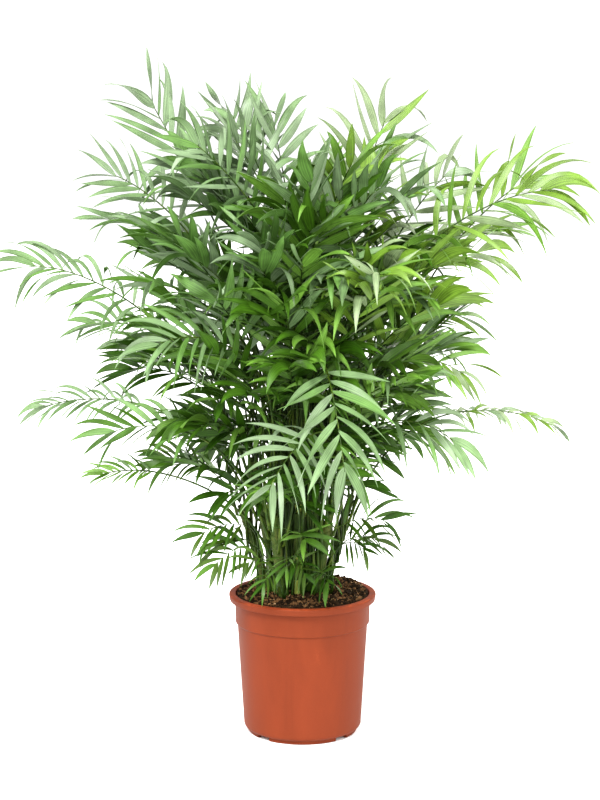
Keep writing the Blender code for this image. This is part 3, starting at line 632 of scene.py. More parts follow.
# Finer fronds inside the crown, with no solid of their own.
innerRows = [
    ("inner_peak", 3, 110, 200, 0.03, 0.835, 0.1, 0.985, 0.008, 0.112, 6, "silver"),
    ("inner_top", 9, 0, 320, 0.06, 0.77, 0.18, 0.895, 0.012, 0.116, 6, "sage"),
    ("inner_high", 9, 20, 340, 0.09, 0.66, 0.23, 0.78, 0.018, 0.118, 6, "moss"),
    ("inner_front", 5, 205, 335, 0.12, 0.625, 0.24, 0.72, 0.018, 0.116, 6, "moss"),
    ("inner_back", 3, 40, 140, 0.13, 0.64, 0.27, 0.7, 0.018, 0.1, 6, "moss"),
    ("inner_middle", 9, 0, 320, 0.09, 0.55, 0.23, 0.64, 0.018, 0.112, 6, "deep"),
    ("inner_low", 8, 10, 325, 0.08, 0.46, 0.18, 0.48, 0.016, 0.095, 5, "deep"),
]

# How far the finer fronds turn their faces away from the usual way.
innerSway = 0.55

# Saplings between the canes, straight out of the soil.
saplings = {
    "count": 30,
    "reach": 0.048,
    "clear": 0.0085,
    "radius": 0.003,
    "budHeight": 0.016,
    "lift": 0.055,
    "ease": 0.6,
    "searchStep": 12,
    "swings": (0, 25, -25, 50, -50),
    "stray": 0.3,  # of a tip's bearing, either way
    "hangs": (0.2, 0.8),
}

# Their fronds: bearing beside the sapling's own, radius and height of the blade's start and of its
# tip, rise, leaflet length, pairs, colour.
saplingRows = [
    (30, 0.05, 0.43, 0.13, 0.45, 0.016, 0.085, 5, "night"),
    (-35, 0.075, 0.51, 0.185, 0.555, 0.018, 0.105, 6, "deep"),
    (0, 0.06, 0.625, 0.19, 0.69, 0.016, 0.108, 6, "deep"),
    (-60, 0.08, 0.69, 0.2, 0.77, 0.016, 0.108, 6, "deep"),
    (50, 0.045, 0.74, 0.15, 0.85, 0.012, 0.11, 6, "moss"),
]

# Seedlings round the foot of the clump, with narrow leaves: count, first and last bearing, radius
# on the soil, radius and height of the blade's start and of its tip, rise, leaflet length, pairs,
# colour.
seedlingRows = [
    (2, 200, 228, 0.044, 0.078, 0.305, 0.128, 0.296, 0.01, 0.07, 4, "shade"),
    (2, 320, 350, 0.04, 0.082, 0.345, 0.14, 0.35, 0.01, 0.074, 4, "deep"),
    (3, 55, 150, 0.04, 0.08, 0.35, 0.14, 0.366, 0.01, 0.076, 4, "shade"),
    (4, 10, 75, 0.044, 0.062, 0.41, 0.12, 0.44, 0.01, 0.08, 4, "night"),
    (3, 250, 310, 0.046, 0.066, 0.292, 0.112, 0.285, 0.01, 0.056, 4, "deep"),
]
seedlings = {
    "turns": (-40, 15, 70),  # bearings of their fronds beside the seedling's own
    "turnStray": 12,
    "stray": 8,
    "lift": 0.03,
}

# The youngest fronds, up to three to a cane: radius and height of the blade's start and of its
# tip, rise, leaflet length, pairs, colour.
heartRows = [
    (0.055, 0.78, 0.145, 0.915, 0.01, 0.11, 5, "fresh"),
    (0.09, 0.68, 0.225, 0.79, 0.014, 0.108, 5, "moss"),
    (0.11, 0.56, 0.245, 0.625, 0.016, 0.102, 5, "deep"),
    (0.11, 0.425, 0.205, 0.45, 0.014, 0.085, 4, "deep"),
]

# Shoots out of the soil: name, place, and for each frond the start of its blade, its tip, how far
# it faces forward and the length of its leaflets.
shootRows = [
    ("shoot_left", (-0.07, -0.034), [
        ((-0.092, -0.055, 0.352), (-0.16, -0.085, 0.345), 50, 0.07),
        ((-0.084, -0.07, 0.322), (-0.138, -0.11, 0.3), 55, 0.066),
        ((-0.15, -0.005, 0.432), (-0.232, 0.0, 0.452), 40, 0.06),
    ]),
    ("shoot_front", (-0.03, -0.068), [
        ((-0.04, -0.098, 0.285), (-0.062, -0.13, 0.272), 60, 0.046),
        ((-0.018, -0.095, 0.3), (0.004, -0.132, 0.288), 60, 0.048),
        ((-0.055, -0.085, 0.3), (-0.088, -0.105, 0.3), 60, 0.048),
    ]),
    ("shoot_right", (0.046, -0.03), [
        ((0.062, -0.045, 0.35), (0.13, -0.065, 0.362), 45, 0.07),
        ((0.064, -0.058, 0.322), (0.098, -0.088, 0.318), 55, 0.054),
        ((0.072, -0.02, 0.32), (0.122, -0.018, 0.318), 40, 0.06),
    ]),
]


def cubicAt(points, t):
    a, b, c, d = points
    u = 1.0 - t
    place = a * u**3 + b * (3 * u * u * t) + c * (3 * u * t * t) + d * t**3
    heading = (b - a) * (u * u) + (c - b) * (2 * u * t) + (d - c) * (t * t)
    return place, heading.normalized()


def bladeCurve(start, tip, rise):
    lift = up * rise
    return (start, start.lerp(tip, 0.33) + lift, start.lerp(tip, 0.7) + lift, tip)


def stalkCurve(foot, out, start, heading):
    heel = foot + out * stalk["heel"] + up * (stalk["heel"] * 0.6)
    reach = (start - heel).length
    rising = (out * stalk["splay"] + up).normalized()
    turn = start - heading * (reach * stalk["run"])
    return (heel, heel + rising * (reach * stalk["rise"]), turn, start)


def ribAt(frond, place):
    # The stalk runs from place 0 to 1 and the blade from 1 to 2.
    if place < 1.0:
        point, heading = cubicAt(frond["stalk"], place)
        facing = frond["footFace"].lerp(frond["face"], place)
    else:
        point, heading = cubicAt(frond["blade"], place - 1.0)
        facing = frond["face"]
    normal = (facing - heading * facing.dot(heading)).normalized()
    return point, heading, heading.cross(normal), normal


def ribPoints(frond):
    places = [i / stalk["rings"] for i in range(stalk["rings"] + 1)]
    root = leaflet["rootWidth"] / (frond["blade"][3] - frond["blade"][0]).length
    step = (1.0 - root) / frond["pairs"]
    for i in range(frond["pairs"]):
        places += [1.0 + step * (i + 1) - root, 1.0 + step * (i + 1)]
    return [frond["foot"]] + [ribAt(frond, place)[0] for place in places]


def boxOf(points):
    low = [min(point[i] for point in points) for i in range(3)]
    return low, [max(point[i] for point in points) for i in range(3)]


def boxesApart(first, second, clear):
    return any(first[0][i] - clear > second[1][i] or second[0][i] - clear > first[1][i] for i in range(3))


def lineRecord(points, clear):
    segments = [(a, b, boxOf((a, b))) for a, b in zip(points, points[1:])]
    return {"segments": segments, "clear": clear, "box": boxOf(points)}


def segmentGap(a, b, c, d):
    ab, cd, ca = b - a, d - c, a - c
    e, f = ab.length_squared, cd.length_squared
    g, h, k = ab.dot(ca), ab.dot(cd), cd.dot(ca)
    spread = e * f - h * h
    s = min(max((h * k - g * f) / spread, 0.0), 1.0) if spread > 1e-14 else 0.0
    t = min(max((h * s + k) / f, 0.0), 1.0)
    s = min(max((h * t - g) / e, 0.0), 1.0)
    return (a + ab * s - c - cd * t).length


def lineClear(points, lines, ease=1.0):
    # The finer fronds keep a smaller share of each clearance, as their stalks are thinner.
    own = lineRecord(points, 0.0)
    for line in lines:
        clear = line["clear"] * ease
        if boxesApart(own["box"], line["box"], clear):
            continue
        for a, b, box in own["segments"]:
            for c, d, other in line["segments"]:
                if boxesApart(box, other, clear):
                    continue
                if segmentGap(a, b, c, d) < clear:
                    return False
    return True


def forward(tilt):
    angle = math.radians(tilt)
    return Vector((0.0, -math.sin(angle), math.cos(angle)))


def polar(bearing, radius, height):
    return clump["centre"] + Vector((radius * math.cos(bearing), radius * math.sin(bearing), height))


def inward(bearing):
    # A face turned up, and half as much towards the middle of the clump.
    return Vector((-0.45 * math.cos(bearing), -0.45 * math.sin(bearing), 0.9))


def outlineFronds():
    for name, start, tip, rise, tilt, hang, length, pairs, tone in outlineRows:
        yield name, Vector(start), Vector(tip), rise, forward(tilt), hang, length, pairs, tone


def swayed(face, draw, sway):
    return face + Vector([eitherWay(draw, sway) for _ in range(3)])


tierStray = {"bearing": 0.06, "height": 0.02, "tipBearing": 0.12, "tipHeight": 0.025}


def tierFronds(rows, seed, sway=0.0):
    draw = random.Random(seed)
    for name, count, first, last, r1, z1, r2, z2, rise, length, pairs, tone in rows:
        for i in range(count):
            bearing = math.radians(first + (last - first) * i / max(count - 1, 1))
            bearing += eitherWay(draw, tierStray["bearing"])
            start = polar(bearing, r1, z1 + eitherWay(draw, tierStray["height"]))
            tipBearing = bearing + eitherWay(draw, tierStray["tipBearing"])
            tip = polar(tipBearing, r2, z2 + eitherWay(draw, tierStray["tipHeight"]))
            face = swayed(inward(bearing), draw, sway) if sway else inward(bearing)
            yield f"{name}_{i + 1}", start, tip, rise, face, leaflet["hang"], length, pairs, tone


def frondRecord(spec, foot, out, axis, rising):
    name, start, tip, rise, face, hang, length, pairs, tone = spec
    blade = bladeCurve(start, tip, rise)
    return {
        "name": name,
        "foot": foot,
        "out": out,
        "stalk": stalkCurve(foot, rising, start, cubicAt(blade, 0.0)[1]),
        "blade": blade,
        "footFace": axis * 0.6 - out * 0.8,
        "face": face,
        "hang": hang,
        "length": length,
        "pairs": pairs,
        "tone": tone,
    }


def sideFrond(cane, height, aim, spec):
    centre, radius = caneAt(cane, height)
    axis = (caneAt(cane, height + 0.01)[0] - centre).normalized()
    out = Vector((math.cos(aim), math.sin(aim), 0.0))
    out = (out - axis * out.dot(axis)).normalized()
    return frondRecord(spec, centre + out * (radius + gap), out, axis, out)


def placeSideFrond(canes, lines, spec, most, ease=1.0):
    # Takes the nearest cane with a free place, and turns the foot until the stalk runs clear.
    start, tip = spec[1], spec[2]
    length = stalk["share"] * (tip - start).length + stalk["spare"]
    options = []
    for index, cane in enumerate(canes):
        top, _ = caneAt(cane, cane["height"])
        reach = math.hypot(start.x - top.x, start.y - top.y)
        drop = max(start.z - length - top.z, 0.0)
        cost = reach + stalk["shortness"] * drop + stalk["crowding"] * len(cane["feet"])
        options.append((cost, index))
    for _, index in sorted(options)[:most]:
        cane = canes[index]
        if len(cane["feet"]) >= stalk["feetPerCane"] / ease:
            continue
        highest = cane["height"] - stalk["footStep"]
        height = min(highest, max(start.z - soil["level"] - length, stalk["highEnough"]))
        while height > stalk["lowestFoot"]:
            if any(abs(height - other) < stalk["footStep"] * ease for other in cane["feet"]):
                height -= stalk["footStep"] / 4
                continue
            centre, _ = caneAt(cane, height)
            aim = math.atan2(start.y - centre.y, start.x - centre.x)
            for swing in stalk["swings"]:
                frond = sideFrond(cane, height, aim + math.radians(swing), spec)
                points = ribPoints(frond)
                others = lines[:index] + lines[index + 1 :]
                if lineClear(points[1:], lines, ease) and lineClear(points[:2], others, ease):
                    cane["feet"].append(height)
                    frond["cane"], frond["height"] = cane, height
                    lines.append(lineRecord(points, stalk["clear"]))
                    return frond
            height -= stalk["footStep"]
    return None


def budFrond(base, radius, height, bearing, spec):
    out = Vector((math.cos(bearing), math.sin(bearing), 0.0))
    foot = base + out * (radius * 0.3) + up * (height * 0.4)
    return frondRecord(spec, foot, out, up, (out * 0.5 + up).normalized())


def firstClear(options, lines):
    return next((frond for frond in options if lineClear(ribPoints(frond), lines)), None)


def claim(fronds, lines, clear):
    lines.extend(lineRecord(ribPoints(frond), clear) for frond in fronds)
    return fronds


def heartOptions(base, radius, side, row, lift, name):
    r1, z1, r2, z2, rise, length, pairs, tone = row
    for nudge in stalk["nudges"]:
        for swing in stalk["swings"]:
            way = side + math.radians(swing)
            start = polar(way, r1, z1 + lift + nudge)
            tip = polar(way, r2, z2 + lift + nudge)
            spec = (name, start, tip, rise, inward(way), leaflet["hang"], length, pairs, tone)
            yield budFrond(base, radius, bud["heartHeight"], side, spec)


def layOutHeart(cane, index, lines):
    # The youngest fronds of a cane rise from one bud, turned until they all run clear.
    top, radius = caneAt(cane, cane["height"])
    base = top + up * gap
    rows = heartRows[:3] if cane["height"] > bud["tallCane"] else heartRows[1:]
    others = lines[:index] + lines[index + 1 :]
    best = []
    for twist in bud["turns"]:
        draw = random.Random(40 + index)
        bearing = index * goldenAngle + math.radians(twist)
        fronds = []
        for turn, row in enumerate(rows):
            side = bearing + turn * math.radians(120)
            lift = eitherWay(draw, bud["heartLift"])
            options = heartOptions(base, radius * bud["heartShare"], side, row, lift, f"heart_{index + 1}")
            fronds.append(firstClear(options, others))
        fronds = [frond for frond in fronds if frond]
        if len(fronds) > len(best):
            best = fronds
    return claim(best, lines, stalk["clear"])


def shootOptions(base, side, name, row):
    start, tip, tilt, length = row
    for nudge in stalk["nudges"]:
        ends = (Vector(start) + up * nudge, Vector(tip) + up * nudge)
        rest = (bud["shootRise"], forward(tilt), bud["shootHang"], length, bud["shootPairs"], "shade")
        yield budFrond(base, bud["shootRadius"], bud["shootHeight"], side, (name, *ends, *rest))


def layOutShoot(name, place, rows, lines):
    base = Vector((*place, soil["level"] + gap))
    aims = [math.atan2(row[0][1] - place[1], row[0][0] - place[0]) for row in rows]
    sides = [aims[0] + turn * math.radians(120) for turn in range(3)]
    fronds = []
    for aim, row in zip(aims, rows):
        side = max(sides, key=lambda angle: math.cos(angle - aim))
        sides.remove(side)
        frond = firstClear(shootOptions(base, side, name, row), lines)
        if frond:
            fronds.append(frond)
    return claim(fronds, lines, stalk["clear"])


def placeSingles(canes, lines, specs, nudges, most, ease=1.0):
    placed = []
    for name, start, tip, *rest in specs:
        for nudge in nudges:
            spec = (name, start + up * nudge, tip + up * nudge, *rest)
            frond = placeSideFrond(canes, lines, spec, most, ease)
            if frond:
                placed.append(frond)
                break
    return placed


def layOutFronds(canes):
    lines = []
    for cane in canes:
        rings = clump["rings"]
        points = [caneAt(cane, cane["height"] * i / rings)[0] for i in range(rings + 1)]
        lines.append(lineRecord(points, clump["foot"] + stalk["width"]))
    young = [frond for row in shootRows for frond in layOutShoot(*row, lines)]
    specs = [*outlineFronds(), *tierFronds(tierRows, 7)]
    grown = placeSingles(canes, lines, specs, stalk["nudges"], len(canes))
    for index, cane in enumerate(canes):
        young += layOutHeart(cane, index, lines)
    return grown + young, lines


def freePlace(bearing, radius, canes, taken):
    # A place on the soil beside the canes' feet, found by turning about the clump's centre.
    for turn in range(0, 360, saplings["searchStep"]):
        place = polar(bearing + math.radians(turn), radius, soil["level"] + gap)
        feet = [cane["foot"] for cane in canes] + taken
        if all((place - foot).length > saplings["clear"] for foot in feet):
            return place
    return None


def groundFrond(base, side, name, ends, rise, length, pairs, tone, draw):
    # A frond from the soil that faces outwards and up, and hangs more than the others.
    bearing = math.atan2(ends[1].y - ends[0].y, ends[1].x - ends[0].x)
    face = swayed(inward(bearing), draw, innerSway)
    spec = (name, *ends, rise, face, draw.uniform(*saplings["hangs"]), length, pairs, tone)
    return budFrond(base, saplings["radius"], saplings["budHeight"], side, spec)


def layOutSaplings(canes, lines):
    draw = random.Random(23)
    placed, taken = [], []
    for i in range(saplings["count"]):
        share = (i + 0.5) / saplings["count"]
        bearing = i * goldenAngle + 1.0
        base = freePlace(bearing, saplings["reach"] * math.sqrt(share), canes, taken)
        if base is None:
            continue
        taken.append(base)
        fronds = []
        for turn, r1, z1, r2, z2, rise, length, pairs, tone in saplingRows:
            side = bearing + math.radians(turn)
            lift = eitherWay(draw, saplings["lift"])
            for swing in saplings["swings"]:
                way = side + math.radians(swing)
                tipWay = way + eitherWay(draw, saplings["stray"])
                ends = (polar(way, r1, z1 + lift), polar(tipWay, r2, z2 + lift))
                frond = groundFrond(base, side, "sapling", ends, rise, length, pairs, tone, draw)
                if lineClear(ribPoints(frond), lines, saplings["ease"]):
                    fronds.append(frond)
                    break
        placed += claim(fronds, lines, saplings["radius"])
    return placed


def layOutSeedlings(canes, lines):
    draw = random.Random(29)
    placed, taken = [], []
    for count, first, last, radius, r1, z1, r2, z2, rise, length, pairs, tone in seedlingRows:
        for i in range(count):
            bearing = first + (last - first) * i / max(count - 1, 1)
            bearing = math.radians(bearing + eitherWay(draw, seedlings["stray"]))
            base = freePlace(bearing, radius, canes, taken)
            if base is None:
                continue
            taken.append(base)
            fronds = []
            for turn in seedlings["turns"]:
                way = bearing + math.radians(turn + eitherWay(draw, seedlings["turnStray"]))
                lift = eitherWay(draw, seedlings["lift"])
                tipWay = way + eitherWay(draw, saplings["stray"])
                ends = (polar(way, r1, z1 + lift), polar(tipWay, r2, z2 + lift))
                frond = groundFrond(base, way, "seedling", ends, rise, length, pairs, tone, draw)
                if lineClear(ribPoints(frond), lines):
                    fronds.append(frond)
            placed += claim(fronds, lines, saplings["radius"])
    return placed


canes = layOutCanes()
fronds, lines = layOutFronds(canes)
print("layout:", len(fronds), "fronds with solids")
innerFronds = layOutSaplings(canes, lines) + layOutSeedlings(canes, lines)
innerSpecs = tierFronds(innerRows, 19, innerSway)
innerFronds += placeSingles(canes, lines, innerSpecs, (0.0, 0.02), 5, saplings["ease"])
allFronds = fronds + innerFronds
print("layout:", len(innerFronds), "finer fronds inside the crown")


# Canes with their leaf scars

caneLook = {
    "colour": (0.018, 0.038, 0.003),
    "pale": (0.058, 0.084, 0.009),
    "paleCane": 2,
    "paleColour": (0.21, 0.25, 0.05),
    "firstScar": 0.012,
    "scarStep": (0.017, 0.029),
    # height beside the scar, and share of the cane's radius there
    "scarRings": ((-0.0024, 1.0), (-0.0009, 1.1), (0.0005, 1.03), (0.0012, 0.96)),
    "footSwell": 1.06,
    "waist": 0.985,
    "waistDrop": 0.008,  # below the next scar
    "leastStep": 0.0002,
    "endClear": 0.006,
    "sides": 14,
}
stalkLook = {
    "colour": (0.018, 0.044, 0.003),
    "pale": (0.076, 0.11, 0.011),
    "foot": 0.0027,
    "middle": 0.0018,
    "blade": 0.0014,
    "tip": 0.0007,
    "heelEnd": 0.25,  # place on the stalk where it has narrowed from its foot
    "sunk": 0.0012,  # depth of its root in the cane
    "smallShare": 0.6,  # on shoots and seedlings
    "sides": 7,
    "stalkSteps": 14,
    "bladeSteps": 14,
}
sheathLook = {
    "colour": (0.03, 0.058, 0.007),
    "brown": (0.075, 0.088, 0.02),
    "below": 0.03,
    "above": 0.007,
    "lengths": (0.7, 1.1),
    "lowest": 0.004,
    "clear": 0.0004,
    "swells": (1.04, 1.12, 1.2, 1.34),
    "mouth": 0.006,
    "mouthStart": 0.3,  # share of the sheath's height
    "belly": 0.0022,
    "bellyStart": 0.4,
    "wall": 0.0005,
    "sides": 14,
}


def stemMaterial(name, colour, pale, roughness, scale):
    material, tree, shader = newMaterial(name, colour, roughness, 0.2)
    streaks = noiseAt(tree, objectPlace(tree, (1.0, 1.0, 0.05)), scale, 3.0, 0.55)
    patches = noiseAt(tree, objectPlace(tree), 34.0, 3.0, 0.55)
    stops = [*shades(colour, (0.4, 0.72), (0.5, 1.0)), (0.62, pale)]
    mixed = mixOf(tree, streaks, patches, 0.5)
    tree.links.new(rampOf(tree, mixed, stops), shader.inputs["Base Color"])
    tree.links.new(rangeOf(tree, streaks, roughness - 0.08, roughness + 0.1), shader.inputs["Roughness"])
    linkBump(tree, shader, streaks, 0.35, 0.0005)
    return material


def growCane(cane, draw):
    centres, radii = [], []

    def ring(height, swell):
        centre, radius = caneAt(cane, max(min(height, cane["height"]), 0.0))
        if not centres or (centre - centres[-1]).length > caneLook["leastStep"]:
            centres.append(centre)
            radii.append(radius * swell)

    ring(0.0, caneLook["footSwell"])
    height = caneLook["firstScar"]
    while height < cane["height"] - caneLook["endClear"]:
        for step, swell in caneLook["scarRings"]:
            ring(height + step, swell)
        height += draw.uniform(*caneLook["scarStep"])
        ring(height - caneLook["waistDrop"], caneLook["waist"])
    ring(cane["height"], 1.0)
    return growTube(centres, radii, caneLook["sides"])


def makeCanes():
    draw = random.Random(31)
    green, pale = bmesh.new(), bmesh.new()
    for index, cane in enumerate(canes):
        moveInto(pale if index == caneLook["paleCane"] else green, growCane(cane, draw))
    for bm in (green, pale):
        bmesh.ops.recalc_face_normals(bm, faces=bm.faces)
    material = stemMaterial("cane_green", caneLook["colour"], caneLook["pale"], 0.45, 700.0)
    paleNode = f"cane_{caneLook['paleCane'] + 1}"
    nodes = [f"cane_{i + 1}" for i in range(clump["count"]) if i != caneLook["paleCane"]]
    finishPiece("canes", green, material, nodes, 60)
    colour = caneLook["paleColour"]
    material = stemMaterial("cane_pale", colour, shadeOf(colour, 1.4), 0.45, 700.0)
    finishPiece("cane_pale", pale, material, [paleNode], 60)


def makeStalks():
    # Each frond's stalk and the rib of its blade in one tapering run.
    foot, middle, blade, heelEnd = (stalkLook[key] for key in ("foot", "middle", "blade", "heelEnd"))
    bm = bmesh.new()
    for frond in allFronds:
        size = stalkLook["smallShare"] if frond["name"].startswith(("shoot", "seedling")) else 1.0
        places = [i / stalkLook["stalkSteps"] for i in range(stalkLook["stalkSteps"])]
        places += [1.0 + i / stalkLook["bladeSteps"] for i in range(stalkLook["bladeSteps"] + 1)]
        centres = [frond["foot"] - frond["out"] * stalkLook["sunk"]]
        radii = [stalkLook["foot"] * size]
        for place in places:
            centres.append(ribAt(frond, place)[0])
            if place < heelEnd:
                width = foot + (middle - foot) * (place / heelEnd)
            elif place < 1.0:
                width = middle + (blade - middle) * (place - heelEnd) / (1.0 - heelEnd)
            else:
                width = blade + (stalkLook["tip"] - blade) * (place - 1.0)
            radii.append(width * size)
        moveInto(bm, growTube(centres, radii, stalkLook["sides"]))
    bmesh.ops.recalc_face_normals(bm, faces=bm.faces)
    material = stemMaterial("stalk_green", stalkLook["colour"], stalkLook["pale"], 0.42, 900.0)
    nodes = sorted({frond["name"] for frond in fronds})
    finishPiece("frond_stalks", bm, material, nodes)


def makeSheaths():
    # The base of each stalk wraps its cane, and ends in a mouth that is highest at the stalk.
    draw = random.Random(8)
    bm = bmesh.new()
    for frond in allFronds:
        if "cane" not in frond:
            continue
        cane, top = frond["cane"], frond["height"] + sheathLook["above"]
        below = sheathLook["below"] * draw.uniform(*sheathLook["lengths"])
        bottom = max(frond["height"] - below, sheathLook["lowest"])
        swells = sheathLook["swells"]
        centres, radii = [], []
        for i, swell in enumerate(swells):
            centre, radius = caneAt(cane, bottom + (top - bottom) * i / (len(swells) - 1))
            centres.append(centre)
            radii.append(radius * swell + sheathLook["clear"])
        sleeve = growTube(centres, radii, sheathLook["sides"], closed=False)
        span = top - bottom
        for vert in sleeve.verts:
            share = (vert.co.z - centres[0].z) / span
            side = (vert.co - centres[0].lerp(centres[-1], share)).normalized().dot(frond["out"])
            mouth = sheathLook["mouth"] * max(share - sheathLook["mouthStart"], 0.0)
            belly = sheathLook["belly"] * max(share - sheathLook["bellyStart"], 0.0)
            vert.co.z += mouth * side
            vert.co += frond["out"] * (belly * max(side, 0.0))
        moveInto(bm, sleeve)
    material = stemMaterial("sheath_pale", sheathLook["colour"], sheathLook["brown"], 0.6, 800.0)
    wall = finishPiece("leaf_sheaths", bm, material).modifiers.new("wall", "SOLIDIFY")
    wall.thickness = sheathLook["wall"]
    wall.offset = 1.0


makeCanes()
makeStalks()
makeSheaths()
print("stems: canes, stalks and sheaths")


# Leaflets

# Base colour, roughness and specular level of each kind of leaf, and the darker and the paler kind
# that some leaflets of such a frond have. Silver is partly the leaves' own green, partly painted
# sheen; lime and fresh are partly painted light shining through the leaves; shade, deep and night
# are darker copies, dealt mostly to the lower and inner fronds, that hold painted shade.
leafTones = {
    "silver": ((0.118, 0.172, 0.09), 0.42, 0.42, "sage", "silver"),
    "sage": ((0.096, 0.158, 0.064), 0.42, 0.4, "blue", "silver"),
    "moss": ((0.086, 0.172, 0.025), 0.4, 0.35, "deep", "sage"),
    "blue": ((0.074, 0.148, 0.034), 0.4, 0.4, "deep", "silver"),
    "fresh": ((0.096, 0.17, 0.02), 0.4, 0.35, "moss", "lime"),
    "lime": ((0.156, 0.208, 0.106), 0.42, 0.4, "fresh", "silver"),
    "shade": ((0.036, 0.07, 0.007), 0.42, 0.25, "night", "deep"),
    "deep": ((0.036, 0.088, 0.006), 0.42, 0.28, "night", "moss"),
    "night": ((0.021, 0.058, 0.003), 0.45, 0.18, "night", "deep"),
}
# Shares of leaflets that take the darker kind and the paler kind: tone that differs at random, with
# painted shade and painted highlights within a frond.
darkShare = 0.22
paleShare = 0.22

# The left half of the crown, seen from the front, is bluer, with painted sheen, and the right half
# yellower, with painted light shining through the leaves.
paintedSideLight = {
    "lowest": 0.5,
    "cool": (-0.05, {"moss": "blue", "fresh": "sage"}),
    "warm": (0.06, {"moss": "fresh", "deep": "moss"}),
}

# Fronds with broad or narrow leaflets: share of the usual width.
leafWidths = {
    "front": 1.06, "front_low": 0.82, "front_left": 0.85, "front_high": 1.15, "right_high": 0.88,
    "right_back": 0.9, "left_high": 0.9, "left_long": 0.8, "left_edge": 0.75,
    "left_low_long": 0.8, "right_long": 1.35, "right_low": 0.9, "middle_up": 1.35,
    "top_left": 1.15, "top_mid_left": 1.25, "top_right": 1.12, "heart": 1.2, "inner": 1.12,
    "sapling": 1.15, "shoot": 0.95,
}


def leafMaterial(tone):
    colour, roughness, specular = leafTones[tone][:3]
    material, tree, shader = newMaterial("leaf_" + tone, colour, roughness, specular)
    uvMap = addNode(tree, "UVMap", uv_map="leafUv")
    mapping = addNode(tree, "Mapping", {"Scale": (11.0, 0.9, 1.0)})
    tree.links.new(uvMap.outputs["UV"], mapping.inputs["Vector"])
    veins = noiseAt(tree, mapping.outputs["Vector"], 1.0, 2.0, 0.5)
    patches = noiseAt(tree, objectPlace(tree), 30.0, 2.0, 0.5)
    stops = shades(colour, (0.39, 0.55), (0.5, 1.0), (0.61, 1.5))
    tree.links.new(rampOf(tree, mixOf(tree, veins, patches, 0.7), stops), shader.inputs["Base Color"])
    tree.links.new(rangeOf(tree, patches, roughness - 0.05, roughness + 0.08), shader.inputs["Roughness"])
    linkBump(tree, shader, veins, 0.5, 0.0006)
    return material


def leafletLength(frond, share):
    return frond["length"] * (0.78 + 0.85 * share - 0.8 * share * share)


def widthAt(along):
    # Narrow at the root, widest before the middle, with a long fine tip.
    return max(3.0 * along**0.62 * (1.0 - along) ** 1.05, 0.22 * (1.0 - along), 0.02)


def leafMesh():
    bm = bmesh.new()
    bm.loops.layers.uv.new("leafUv")
    return bm


def leafletBlank():
    # One flat leaflet as a grid, from edge to edge along X and from root to tip along Y.
    bm = leafMesh()
    bmesh.ops.create_grid(bm, x_segments=2, y_segments=leaflet["rows"], size=0.5, calc_uvs=True)
    mesh = bpy.data.meshes.new("leaflet_blank")
    bm.to_mesh(mesh)
    bm.free()
    return mesh


def leafletSpine(point, way, across, top, length, droop, sickle, twist):
    # It leaves the rib along way, bends down by its droop and towards the tip of the frond by its
    # sickle, and turns about its own length by its twist.
    rows = leaflet["rows"]
    spine = [(point, across, top)]
    place, last = point, top
    for row in range(1, rows + 1):
        along = (row - 0.5) / rows
        bend = droop * leaflet["droopTurn"] * along ** leaflet["droopCurve"]
        heading = (way - up * bend + across * (sickle * along)).normalized()
        place = place + heading * (length / rows)
        side = (across - heading * across.dot(heading)).normalized()
        face = heading.cross(side)
        if face.dot(last) < 0.0:
            face = -face
        last = face
        turn = twist * along
        turned = side * math.cos(turn) + face * math.sin(turn)
        spine.append((place, turned, face * math.cos(turn) - side * math.sin(turn)))
    return spine


def growLeaflet(bm, spine, width):
    first = len(bm.verts)
    bm.from_mesh(blank)
    bm.verts.ensure_lookup_table()
    for vert in bm.verts[first:]:
        edge, along = vert.co.x * 2.0, vert.co.y + 0.5
        place, side, face = spine[round(along * leaflet["rows"])]
        half = width * widthAt(along) / 2.0
        vert.co = place + side * (edge * half) - face * (abs(edge) * half * leaflet["keel"] * 2.0)


def leafletFrame(frond, place, hand, angle, roll):
    point, heading, side, normal = ribAt(frond, place)
    turn = math.radians(angle)
    flat = heading * math.cos(turn) + side * (hand * math.sin(turn))
    way = (flat + normal * leaflet["lift"]).normalized()
    across = (heading - way * heading.dot(way)).normalized()
    top = way.cross(across) * hand
    if top.dot(normal) < 0.0:
        top = -top
    rolled = across * math.cos(roll) + top * math.sin(roll)
    return point, way, rolled, top * math.cos(roll) - across * math.sin(roll)


def pickTone(frond, draw):
    own = frond["tone"]
    tip = frond["blade"][3]
    # High fronds on the left take tones with painted sheen, and those on the right tones with painted
    # light through the leaves.
    if tip.z > paintedSideLight["lowest"]:
        coolEdge, cool = paintedSideLight["cool"]
        warmEdge, warm = paintedSideLight["warm"]
        own = cool.get(own, own) if tip.x < coolEdge else warm.get(own, own) if tip.x > warmEdge else own
    # Some leaflets take the darker kind and some the paler one: random tone, with painted shade and
    # painted highlights.
    darker, paler = leafTones[own][3:]
    pick = draw.random()
    return darker if pick < darkShare else paler if pick > 1.0 - paleShare else own


